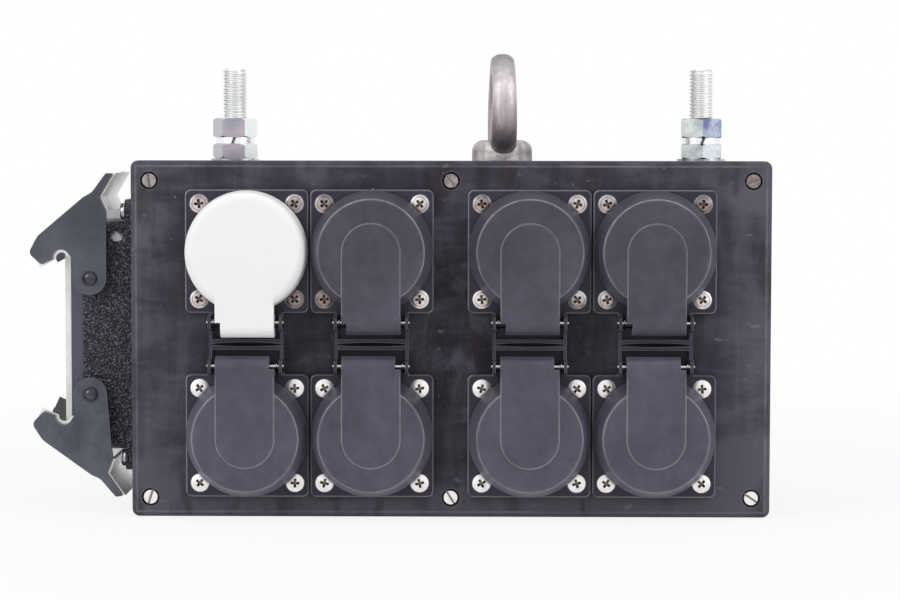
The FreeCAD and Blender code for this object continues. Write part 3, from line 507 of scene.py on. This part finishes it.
def zinc_plate():
    """Bright zinc; painted light and reflection colour the flats of the nuts by the way they face.

    On the left stud, grey-violet fronts lie between a grey and a near-white side. On the right stud, the
    left flats are greenish, and the right flat is pale on the lower nut and violet on the upper one.
    """
    f = Finish("zinc_steel")
    # Painted light and reflection: each flat's colour is chosen by the way it faces.
    facing = f.parts(f.facing)
    cloud = f.noise(150.0, 4.0, 0.6)
    side = f.mix(f.span(facing["X"], -0.5, 0.5, 0.0, 1.0), (0.50, 0.50, 0.52), (0.92, 0.95, 0.95))
    front = f.ramp(
        cloud,
        (0.34, (0.35, 0.35, 0.41)),
        (0.5, (0.43, 0.39, 0.45)),
        (0.66, (0.52, 0.43, 0.48)),
    )
    left = f.mix(f.span(facing["Y"], -0.97, -0.75, 1.0, 0.0), side, front)
    greenish = f.ramp(cloud, (0.36, (0.32, 0.35, 0.35)), (0.64, (0.52, 0.55, 0.55)))
    violet = f.ramp(cloud, (0.36, (0.15, 0.17, 0.33)), (0.64, (0.46, 0.51, 0.62)))
    pale = f.ramp(cloud, (0.36, (0.48, 0.53, 0.57)), (0.64, (0.72, 0.77, 0.79)))
    upper_nut = f.span(f.axis("Z"), *shifted(lower_nut_top, ABOVE_LOWER_NUT), 0.0, 1.0)
    right = f.mix(f.span(facing["X"], 0.0, 0.1, 0.0, 1.0), greenish, f.mix(upper_nut, pale, violet))
    f.set(Base_Color=f.mix(f.span(f.axis("X"), 0.0, 0.001, 0.0, 1.0), left, right))
    f.brushed(0.26, 1300.0, 0.000015)
    return f.material


def thread_zinc(name, axis_x):
    """Zinc thread of one stud, with painted shade on its left and down in its grooves."""
    f = Finish(name)
    cloud = f.noise(120.0, 4.0, 0.6)
    crest = f.ramp(
        cloud,
        (0.36, (0.88, 0.90, 0.90)),
        (0.5, (0.93, 0.93, 0.92)),
        (0.64, (0.95, 0.925, 0.915)),
    )
    # Painted shade on the left of the thread.
    shaded = f.span(f.axis("X"), *shifted(axis_x, SHADED_THREAD), 0.45, 0.0)
    crest = f.mix(shaded, crest, (0.50, 0.51, 0.52))
    # Painted shade down in the grooves of the thread.
    reach = f.away((axis_x, 0.0, 0.0), (1.0, 1.0, 1000.0))
    groove_shade = f.span(reach, *THREAD_GROOVE, 0.5, 0.0)
    f.set(Base_Color=f.mix(groove_shade, crest, (0.60, 0.59, 0.61)))
    f.brushed(0.48, 1300.0, 0.00001)
    return f.material


def forged_steel():
    """Drop forging: dull and pitted, grey-violet, with painted reflection and shade darkening the foot and
    the top of the ring above a paler collar.
    """
    f = Finish("forged_steel")
    cloud = f.noise(150.0, 6.0, 0.65)
    pits = f.noise(620.0, 4.0, 0.6)
    drawn = f.noise(420.0, 5.0, 0.6, f.stretched((1.0, 1.0, 0.08)))
    # Painted reflection and shade by height: dark at the foot and the top of the ring, paler in between.
    height = f.span(f.axis("Z"), EYE_FOOT_Z, EYE_TOP_Z, 0.0, 1.0)
    colour = f.ramp(
        height,
        (0.0, (0.34, 0.295, 0.32)),
        (0.16, (0.48, 0.415, 0.445)),
        (0.36, (0.52, 0.465, 0.48)),
        (0.62, (0.66, 0.605, 0.62)),
        (0.82, (0.48, 0.445, 0.455)),
        (1.0, (0.22, 0.205, 0.21)),
    )
    collar = f.ramp(cloud, (0.34, (0.38, 0.345, 0.345)), (0.66, (0.78, 0.73, 0.73)))
    from_foot = f.away((EYE_X, 0.0, EYE_FOOT_Z + 0.006), (0.0072, 1.0, 0.0085))
    above_collar = f.span(f.axis("Z"), *shifted(EYE_FOOT_Z, ABOVE_EYE_COLLAR), 0.0, 1.0)
    ring = f.math("MAXIMUM", f.span(from_foot, 0.85, 1.05, 1.0, 0.0), above_collar)
    colour = f.mix(ring, collar, colour)
    colour = f.mix(0.6, colour, f.ramp(drawn, (0.32, 0.5), (0.68, 1.0)), "MULTIPLY")
    f.set(
        Base_Color=colour,
        Metallic=0.9,
        Roughness=f.span(pits, 0.3, 0.7, 0.46, 0.64),
        Normal=f.bump(pits, 0.00016, 0.7, f.bump(cloud, 0.0006, 0.4)),
    )
    return f.material


PAINT_CHIP_PLACE = (-0.137, -0.0215, 0.1125)
PAINT_CHIP_REACH = (0.0024, 0.008, 0.0019)


def cast_housing():
    """Die casting under coarse black wrinkle paint, chipped beside a lever; the rim band is smooth."""
    f = Finish("cast_aluminium")
    wrinkle = f.cells(1500.0, "SMOOTH_F1")
    lumps = f.noise(1300.0, 3.0, 0.6, None, 1.2)
    shell = f.span(f.axis("X"), *shifted(RIM_BAND_X, BAND_EDGE), 0.0, 1.0)
    height = f.times(f.total(f.times(wrinkle, -0.6), lumps), shell)
    band = f.ramp(lumps, (0.3, (0.068, 0.066, 0.097)), (0.7, (0.090, 0.088, 0.124)))
    # Painted highlight and shade: the wrinkle crests are painted pale and the troughs near black.
    crests = f.ramp(
        height,
        (0.12, (0.002, 0.0015, 0.004)),
        (0.27, (0.016, 0.014, 0.024)),
        (0.42, (0.21, 0.20, 0.27)),
    )
    colour = f.mix(shell, band, crests)
    chip = f.total(f.away(PAINT_CHIP_PLACE, PAINT_CHIP_REACH), f.span(lumps, 0.3, 0.7, -0.5, 0.5))
    colour = f.mix(f.span(chip, 0.8, 0.9, 1.0, 0.0), colour, (0.72, 0.71, 0.70))
    f.set(
        Base_Color=colour,
        Roughness=f.span(lumps, 0.3, 0.75, 0.42, 0.26),
        Specular_IOR_Level=0.4,
        Normal=f.bump(height, 0.0008, 1.0),
    )
    return f.material


def lever_paint():
    """Grey paint with chips and painted highlights along its edges, darker on the upper lever."""
    f = Finish("lever_paint")
    cloud = f.noise(60.0, 6.0, 0.65)
    peel = f.noise(850.0, 3.0, 0.55)
    chips = f.span(f.noise(240.0, 6.0, 0.7), 0.69, 0.74, 0.0, 0.5)
    colour = f.ramp(cloud, (0.34, (0.050, 0.053, 0.074)), (0.66, (0.116, 0.120, 0.147)))
    colour = f.mix(f.span(f.axis("Z"), *UPPER_LEVER_Z, 0.0, 0.5), colour, (0.034, 0.036, 0.050))
    # Painted highlight along the edges.
    colour = f.mix(f.times(f.edges(0.0005), 0.5), colour, (0.22, 0.22, 0.25))
    f.set(
        Base_Color=f.mix(chips, colour, (0.16, 0.16, 0.17)),
        Roughness=f.span(peel, 0.3, 0.7, 0.36, 0.52),
        Specular_IOR_Level=0.4,
        Normal=f.bump(peel, 0.00008, 0.6),
    )
    return f.material


def cam_steel():
    """Bright handle web and near hook plate; the far hook plate is painted like the lever."""
    f = Finish("bright_steel")
    cloud = f.noise(120.0, 5.0, 0.6)
    bright = f.ramp(cloud, (0.34, (0.70, 0.69, 0.68)), (0.66, (0.86, 0.85, 0.84)))
    hook = f.span(f.axis("X"), *shifted(HOOK_X, HOOK_FADE), 1.0, 0.0)
    painted = f.times(hook, f.span(f.axis("Y"), *FAR_HOOK_Y, 0.0, 1.0))
    f.set(
        Base_Color=f.mix(painted, bright, (0.060, 0.061, 0.080)),
        Metallic=f.minus(1.0, painted),
    )
    f.brushed(0.36, 1500.0, 0.00003, metallic=False)
    return f.material


materials = {
    "case_rubber": moulded_rubber(),
    "gasket_rubber": soft_rubber(),
    "cream_seal": pale_seal(),
    "socket_plastic": moulded_plastic(
        "socket_plastic",
        (0.016, 0.014, 0.027),
        (0.038, 0.034, 0.057),
        roughness=0.42,
        # edge: colour of the painted highlight along the edges
        edge=(0.50, 0.49, 0.52),
        specular=BLACK_SPECULAR,
        dust=0.08,
    ),
    "lid_plastic": moulded_plastic(
        "lid_plastic",
        (0.036, 0.034, 0.052),
        (0.068, 0.064, 0.090),
        roughness=0.46,
        # edge: colour of the painted highlight along the edges and round the lid face
        edge=(0.28, 0.27, 0.30),
        dust=0.24,
        lid=True,
    ),
    "white_lid_plastic": white_plastic(),
    "nickel_steel": metal("nickel_steel", (0.46, 0.42, 0.40), (0.62, 0.58, 0.55), 0.30, 260.0, 1500.0),
    "zinc_steel": zinc_plate(),
    "forged_steel": forged_steel(),
    "contact_brass": metal("contact_brass", (0.62, 0.46, 0.20), (0.76, 0.58, 0.28), 0.30, 200.0, 1400.0),
    "silver_brass": metal("silver_brass", (0.66, 0.64, 0.60), (0.82, 0.80, 0.76), 0.25, 200.0, 1400.0),
    "cast_aluminium": cast_housing(),
    "insert_plastic": moulded_plastic("insert_plastic", (0.36, 0.36, 0.35), (0.44, 0.44, 0.43), 0.48),
    "dark_steel": metal("dark_steel", (0.05, 0.049, 0.058), (0.10, 0.097, 0.11), 0.20, 300.0, 1600.0),
    "lever_paint": lever_paint(),
    "bright_steel": cam_steel(),
}
pin_steel = polished_pin()
spring_zinc = metal("spring_zinc", (0.82, 0.84, 0.87), (0.97, 0.97, 0.98), 0.24, 180.0, 1300.0, 0.00001)
flange_nickel = screw_nickel("flange_nickel", FLANGE_FACE_Y * MM, (0.12, 0.088, 0.078), 0.15, True)
cover_nickel = screw_nickel("cover_nickel", COVER_SCREW_Y * MM, (0.26, 0.20, 0.18), 0.85)


# Finishes on the CAD nodes
for subpart in frame["record"]["subparts"]:
    mesh = nodes[subpart["node"]].data
    mesh.materials.clear()
    mesh.materials.append(materials[subpart["material_slot"]])
for node in ("hinge_pins", "lid_springs"):
    nodes[node].data.materials[0] = pin_steel
nodes["spring_washers"].data.materials[0] = spring_zinc


# Mesh helpers, in millimetres
def lathe(profile, segments=32):
    """Turns (radius, height) points about Z; a radius of 0 closes the end."""
    bm = bmesh.new()
    rings = []
    for radius, height in profile:
        if radius == 0:
            rings.append([bm.verts.new((0, 0, height))])
            continue
        ring = []
        for i in range(segments):
            angle = 2 * math.pi * i / segments
            ring.append(bm.verts.new((radius * math.cos(angle), radius * math.sin(angle), height)))
        rings.append(ring)
    for low, high in zip(rings, rings[1:]):
        for i in range(segments):
            j = (i + 1) % segments
            if len(low) == 1:
                bm.faces.new((low[0], high[j], high[i]))
            elif len(high) == 1:
                bm.faces.new((low[i], low[j], high[0]))
            else:
                bm.faces.new((low[i], low[j], high[j], high[i]))
    return bm


def tapered_blade(length_top, length_end, width_top, width_end, top, end, turn):
    """Solid wedge that cuts one arm pair of a driver recess."""
    bm = bmesh.new()
    corners = []
    for length, width, height in ((length_end, width_end, end), (length_top, width_top, top)):
        for x, y in ((-1, -1), (1, -1), (1, 1), (-1, 1)):
            corners.append(bm.verts.new((x * length / 2, y * width / 2, height)))
    for quad in ((3, 2, 1, 0), (4, 5, 6, 7), (0, 1, 5, 4), (1, 2, 6, 5), (2, 3, 7, 6), (3, 0, 4, 7)):
        bm.faces.new([corners[i] for i in quad])
    bm.transform(Matrix.Rotation(turn, 4, "Z"))
    return bm


def mesh_of(bm):
    mesh = bpy.data.meshes.new("draft")
    bmesh.ops.recalc_face_normals(bm, faces=bm.faces)
    bm.to_mesh(mesh)
    bm.free()
    return mesh


def carve(solid, cutters):
    """Mesh of solid with each cutter taken out of it."""
    body = bpy.data.objects.new("draft_body", mesh_of(solid))
    scene.collection.objects.link(body)
    tools = []
    for cutter in cutters:
        tool = bpy.data.objects.new("draft_tool", mesh_of(cutter))
        scene.collection.objects.link(tool)
        step = body.modifiers.new("cut", "BOOLEAN")
        step.operation = "DIFFERENCE"
        step.solver = "EXACT"
        step.object = tool
        tools.append(tool)
    bpy.context.view_layer.update()
    done = bpy.data.meshes.new_from_object(body.evaluated_get(bpy.context.evaluated_depsgraph_get()))
    for obj in [body] + tools:
        bpy.data.objects.remove(obj)
    return done


def placed_copies(mesh, matrices):
    """One mesh with a copy of mesh at each matrix."""
    bm = bmesh.new()
    for matrix in matrices:
        start = len(bm.verts)
        bm.from_mesh(mesh)
        bm.verts.ensure_lookup_table()
        bmesh.ops.transform(bm, matrix=matrix, verts=bm.verts[start:])
    return bm


def add_piece(name, bm, slot, body, replaced, angle=35.0, finish=None):
    """Piece from a mesh in millimetres; finish is its material where the slot's own won't do."""
    bmesh.ops.recalc_face_normals(bm, faces=bm.faces)
    bm.transform(Matrix.Scale(MM, 4))
    mesh = bpy.data.meshes.new(name)
    bm.to_mesh(mesh)
    bm.free()
    mesh.shade_smooth()
    mesh.set_sharp_from_angle(angle=math.radians(angle))
    obj = bpy.data.objects.new(name, mesh)
    scene.collection.objects.link(obj)
    obj.data.materials.append(finish or materials[slot])
    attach(obj, body)
    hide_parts(*replaced)


def tilted(place, tilt, axis, turn=0.0):
    """Matrix that turns a part about its own Z, tilts it about an axis and carries it to a place."""
    return Matrix.Translation(place) @ Matrix.Rotation(tilt, 4, axis) @ Matrix.Rotation(turn, 4, "Z")


def facing_front(x, y, z, turn):
    """Matrix that points a part's +Z out of the front face at (x, y, z)."""
    return tilted((x, y, z), QUARTER_TURN, "X", turn)


def facing_left(x, y, z, turn):
    """Matrix that points a part's +Z out of the left end at (x, y, z)."""
    return tilted((x, y, z), -QUARTER_TURN, "Y", turn)


def centre_and_ends(node):
    low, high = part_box(node)
    middle = (low + high) / 2 / MM
    return middle, low / MM, high / MM


# Threaded hanging studs
def threaded_rod(radius, pitch, low, high, chamfer, segments=40):
    """Rod along Z with a rolled thread; each ridge is a row of (share of the pitch, depth) points."""
    depth = 0.5 * pitch
    ridge = ((0.0, 0.0), (0.125, 0.0), (0.4375, depth), (0.6875, depth))
    bm = bmesh.new()
    rows = []
    turns = int((high - low) / pitch) + 3
    for turn in range(turns):
        for share, sunk in ridge:
            row = []
            for i in range(segments + 1):
                height = low + (turn - 1.5 + share + i / segments) * pitch
                height = min(max(height, low), high)
                edge = min(height - low, high - height)
                reach = min(radius - sunk, radius - chamfer + edge)
                angle = 2 * math.pi * i / segments
                row.append(bm.verts.new((reach * math.cos(angle), reach * math.sin(angle), height)))
            rows.append(row)
    for first, second in zip(rows, rows[1:]):
        for i in range(segments):
            bm.faces.new((first[i], first[i + 1], second[i + 1], second[i]))
    bmesh.ops.remove_doubles(bm, verts=bm.verts, dist=1e-4)
    bmesh.ops.dissolve_degenerate(bm, edges=bm.edges, dist=1e-4)
    rim = [edge for edge in bm.edges if edge.is_boundary]
    bmesh.ops.holes_fill(bm, edges=rim, sides=0)
    return bm


for node in ("left_stud", "right_stud"):
    middle, low, high = centre_and_ends(node)
    bm = threaded_rod(STUD_RADIUS, STUD_PITCH, low.z, high.z, STUD_CHAMFER)
    turned = Matrix.Rotation(draw.uniform(0, LARGEST_STUD_TURN), 4, "Z")
    bm.transform(Matrix.Translation((middle.x, middle.y, 0)) @ turned)
    thread_finish = thread_zinc(f"{node}_zinc", middle.x * MM)
    add_piece(f"{node}_thread", bm, "zinc_steel", "box", [node], 25.0, thread_finish)


# Screws with cross recesses or slots, whose profiles are (radius, height) points
CUT_TOP = 1.0
ARM_TAPER = 0.42
ARM_THINNING = 0.7


def cross_cutters(reach, width, end):
    """Two wedges from above the head down to the end of a cross recess."""
    cutters = []
    for turn in (0.0, QUARTER_TURN):
        blade = tapered_blade(reach, reach * ARM_TAPER, width, width * ARM_THINNING, CUT_TOP, end, turn)
        cutters.append(blade)
    return cutters


def raised_head():
    """Flange screw with a raised countersunk head; the edge of the head is at 0."""
    end = -14.7
    shank = 1.9
    cone_foot = -1.9
    head = 3.6
    rise = 0.6
    steps = 7
    profile = [(0, end), (shank, end), (shank, cone_foot), (head, 0)]
    ball = (head ** 2 + rise ** 2) / (2 * rise)
    for i in range(steps - 1, -1, -1):
        radius = head * i / steps
        profile.append((radius, math.sqrt(ball ** 2 - radius ** 2) - ball + rise))
    return carve(lathe(profile), cross_cutters(reach=4.2, width=1.15, end=-1.5))


screw_places = []
for z in SOCKET_Z:
    for x in SOCKET_X:
        for hole_x in (x - HOLE_REACH, x + HOLE_REACH):
            for hole_z in (z - HOLE_REACH, z + HOLE_REACH):
                turn = draw.uniform(0, QUARTER_TURN)
                screw_places.append(facing_front(hole_x, FLANGE_FACE_Y, hole_z, turn))
flange_screws = placed_copies(raised_head(), screw_places)
add_piece("flange_screw_set", flange_screws, "nickel_steel", "box", ["flange_screws"], finish=flange_nickel)


def slotted_head():
    """Cover screw with a flat head at 0 and a slot right across it."""
    end = -12.1
    shank = 2.0
    under_head = -2.4
    head = 3.0
    chamfer = 0.25
    slot_length = 8.0
    slot_width = 0.9
    slot_floor = -1.3
    profile = [(0, end), (shank, end), (shank, under_head), (head, under_head)]
    profile += [(head, -chamfer), (head - chamfer, 0), (0, 0)]
    slot = tapered_blade(slot_length, slot_length, slot_width, slot_width, CUT_TOP, slot_floor, 0.0)
    return carve(lathe(profile), [slot])


# Slot angles of the cover screws in degrees, by X and Z
SLOT_TURNS = {
    (-121.4, 136): 97,
    (0, 136): 129,
    (121.4, 136): 18,
    (-121.4, 8): 72,
    (0, 8): 122,
    (121.4, 8): 146,
}
slot_places = []
for (x, z), turn in SLOT_TURNS.items():
    slot_places.append(facing_front(x, COVER_SCREW_Y, z, math.radians(turn)))
cover_screws = placed_copies(slotted_head(), slot_places)
add_piece("cover_screw_set", cover_screws, "nickel_steel", "box", ["cover_screws"], finish=cover_nickel)


def pan_head():
    """Connector screw with a rounded head; the top of the head is at 0."""
    end = -15.0
    shank = 2.0
    under_head = -2.2
    head = 3.5
    profile = [(0, end), (shank, end), (shank, under_head), (head, under_head)]
    profile += [(head, -0.9), (3.2, -0.35), (2.4, -0.05), (0, 0)]
    return carve(lathe(profile), cross_cutters(reach=4.0, width=0.9, end=-1.4))


pan_places = []
for y in (-CONNECTOR_SCREW_Y, CONNECTOR_SCREW_Y):
    for z in (CONNECTOR_MIDDLE_Z - CONNECTOR_SCREW_REACH, CONNECTOR_MIDDLE_Z + CONNECTOR_SCREW_REACH):
        pan_places.append(facing_left(CONNECTOR_SCREW_X, y, z, draw.uniform(0, QUARTER_TURN)))
connector_screws = placed_copies(pan_head(), pan_places)
add_piece("connector_screw_set", connector_screws, "zinc_steel", "box", ["connector_screws"])


# Domed pivot rivets of the locking levers
def pivot_rivet():
    """Stem, journal, and a head with a raised rim round a low dome; its outer face is at 0."""
    end = -7.35
    stem = 1.8
    journal_end = -4.85
    journal = 2.2
    under_head = -0.8
    profile = [(0, end), (stem, end), (stem, journal_end), (journal, journal_end), (journal, under_head)]
    profile += [(PIVOT_HEAD, under_head), (PIVOT_HEAD, -0.3), (2.75, 0), (2.45, 0)]
    profile += [(2.2, -0.45), (1.9, -0.5), (1.5, -0.3), (0.8, -0.12), (0, -0.06)]
    return mesh_of(lathe(profile))


pivot_middle, pivot_low, pivot_high = centre_and_ends("lever_pivots")
rivet_places = []
for z in (pivot_low.z + PIVOT_HEAD, pivot_high.z - PIVOT_HEAD):
    for y, tilt in ((pivot_low.y, QUARTER_TURN), (pivot_high.y, -QUARTER_TURN)):
        rivet_places.append(tilted((pivot_middle.x, y, z), tilt, "X"))
rivets = placed_copies(pivot_rivet(), rivet_places)
add_piece("lever_rivet_set", rivets, "dark_steel", "box", ["lever_pivots"])


# Camera at the photograph's place, in millimetres and radians
FRAME_WIDTH = 900
FOCAL_PIXELS = 2621.56
SENSOR = 36.0
CAMERA_PLACE = (9.457, -1092.916, 153.573)
YAW = -0.0093
PITCH = -0.0621
ROLL = 0.0015
ahead = Vector((math.sin(YAW) * math.cos(PITCH), math.cos(YAW) * math.cos(PITCH), math.sin(PITCH)))
level = Vector((math.cos(YAW), -math.sin(YAW), 0))
upright = level.cross(ahead)
right = math.cos(ROLL) * level + math.sin(ROLL) * upright
up = math.cos(ROLL) * upright - math.sin(ROLL) * level
lens = bpy.data.cameras.new("camera")
lens.sensor_width = SENSOR
lens.lens = FOCAL_PIXELS / FRAME_WIDTH * SENSOR
camera = bpy.data.objects.new("camera", lens)
camera_axes = Matrix((right, up, -ahead)).transposed()
camera.matrix_world = Matrix.Translation(Vector(CAMERA_PLACE) * MM) @ camera_axes.to_4x4()
scene.collection.objects.link(camera)
scene.camera = camera


# Floor, background and light, in metres and watts
FLOOR_HALF = 6.0
FLOOR_Z = -0.0002
FLOOR_FADE = (0.25, 0.60)
FLOOR_SHOWN = 0.85
ROOM_LIGHT = 0.5
WHITE = (1, 1, 1, 1)
LAMP_TARGET = (0, 0, 0.07)


def seen_directly(tree):
    """1 for rays that show the background: from the camera, or through gloss or glass."""
    path = tree.nodes.new("ShaderNodeLightPath")
    shown = path.outputs["Is Camera Ray"]
    for name in ("Is Glossy Ray", "Is Transmission Ray"):
        both = tree.nodes.new("ShaderNodeMath")
        both.operation = "MAXIMUM"
        tree.links.new(shown, both.inputs[0])
        tree.links.new(path.outputs[name], both.inputs[1])
        shown = both.outputs["Value"]
    return shown


def make_floor():
    bm = bmesh.new()
    bmesh.ops.create_grid(bm, x_segments=1, y_segments=1, size=FLOOR_HALF)
    mesh = bpy.data.meshes.new("floor")
    bm.to_mesh(mesh)
    bm.free()
    floor = bpy.data.objects.new("floor", mesh)
    floor.location.z = FLOOR_Z
    scene.collection.objects.link(floor)
    floor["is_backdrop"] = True
    f = Finish("pale_floor")
    f.set(Base_Color=(0.92, 0.92, 0.92, 1), Roughness=0.9)
    glow = f.node("ShaderNodeEmission", {"Color": WHITE, "Strength": 1.0})
    beyond = f.span(f.away((0, 0, 0), (1, 1, 1)), *FLOOR_FADE, FLOOR_SHOWN, 1.0)
    share = f.times(seen_directly(f.tree), beyond)
    shaders = {0: share, 1: f.shader.outputs["BSDF"], 2: glow.outputs["Emission"]}
    blend = f.node("ShaderNodeMixShader", shaders)
    f.tree.links.new(blend.outputs["Shader"], f.tree.nodes["Material Output"].inputs["Surface"])
    mesh.materials.append(f.material)


def make_world():
    world = bpy.data.worlds.new("studio")
    world.use_nodes = True
    tree = world.node_tree
    room = tree.nodes["Background"]
    room.inputs["Color"].default_value = WHITE
    room.inputs["Strength"].default_value = ROOM_LIGHT
    plain = tree.nodes.new("ShaderNodeBackground")
    plain.inputs["Color"].default_value = WHITE
    blend = tree.nodes.new("ShaderNodeMixShader")
    tree.links.new(seen_directly(tree), blend.inputs["Fac"])
    tree.links.new(room.outputs["Background"], blend.inputs[1])
    tree.links.new(plain.outputs["Background"], blend.inputs[2])
    tree.links.new(blend.outputs["Shader"], tree.nodes["World Output"].inputs["Surface"])
    scene.world = world


def add_softbox(name, place, width, height, power):
    lamp = bpy.data.lights.new(name, "AREA")
    lamp.shape = "RECTANGLE"
    lamp.size = width
    lamp.size_y = height
    lamp.energy = power
    obj = bpy.data.objects.new(name, lamp)
    obj.location = place
    obj.rotation_euler = (Vector(LAMP_TARGET) - Vector(place)).to_track_quat("-Z", "Y").to_euler()
    scene.collection.objects.link(obj)


make_floor()
make_world()
add_softbox("left_softbox", (-0.9, -0.8, 0.7), width=0.6, height=0.9, power=5.6)
add_softbox("right_softbox", (0.95, -0.75, 0.65), width=0.6, height=0.9, power=5)
add_softbox("top_softbox", (0, -0.15, 1.1), width=1.1, height=0.7, power=2.3)

low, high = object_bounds()
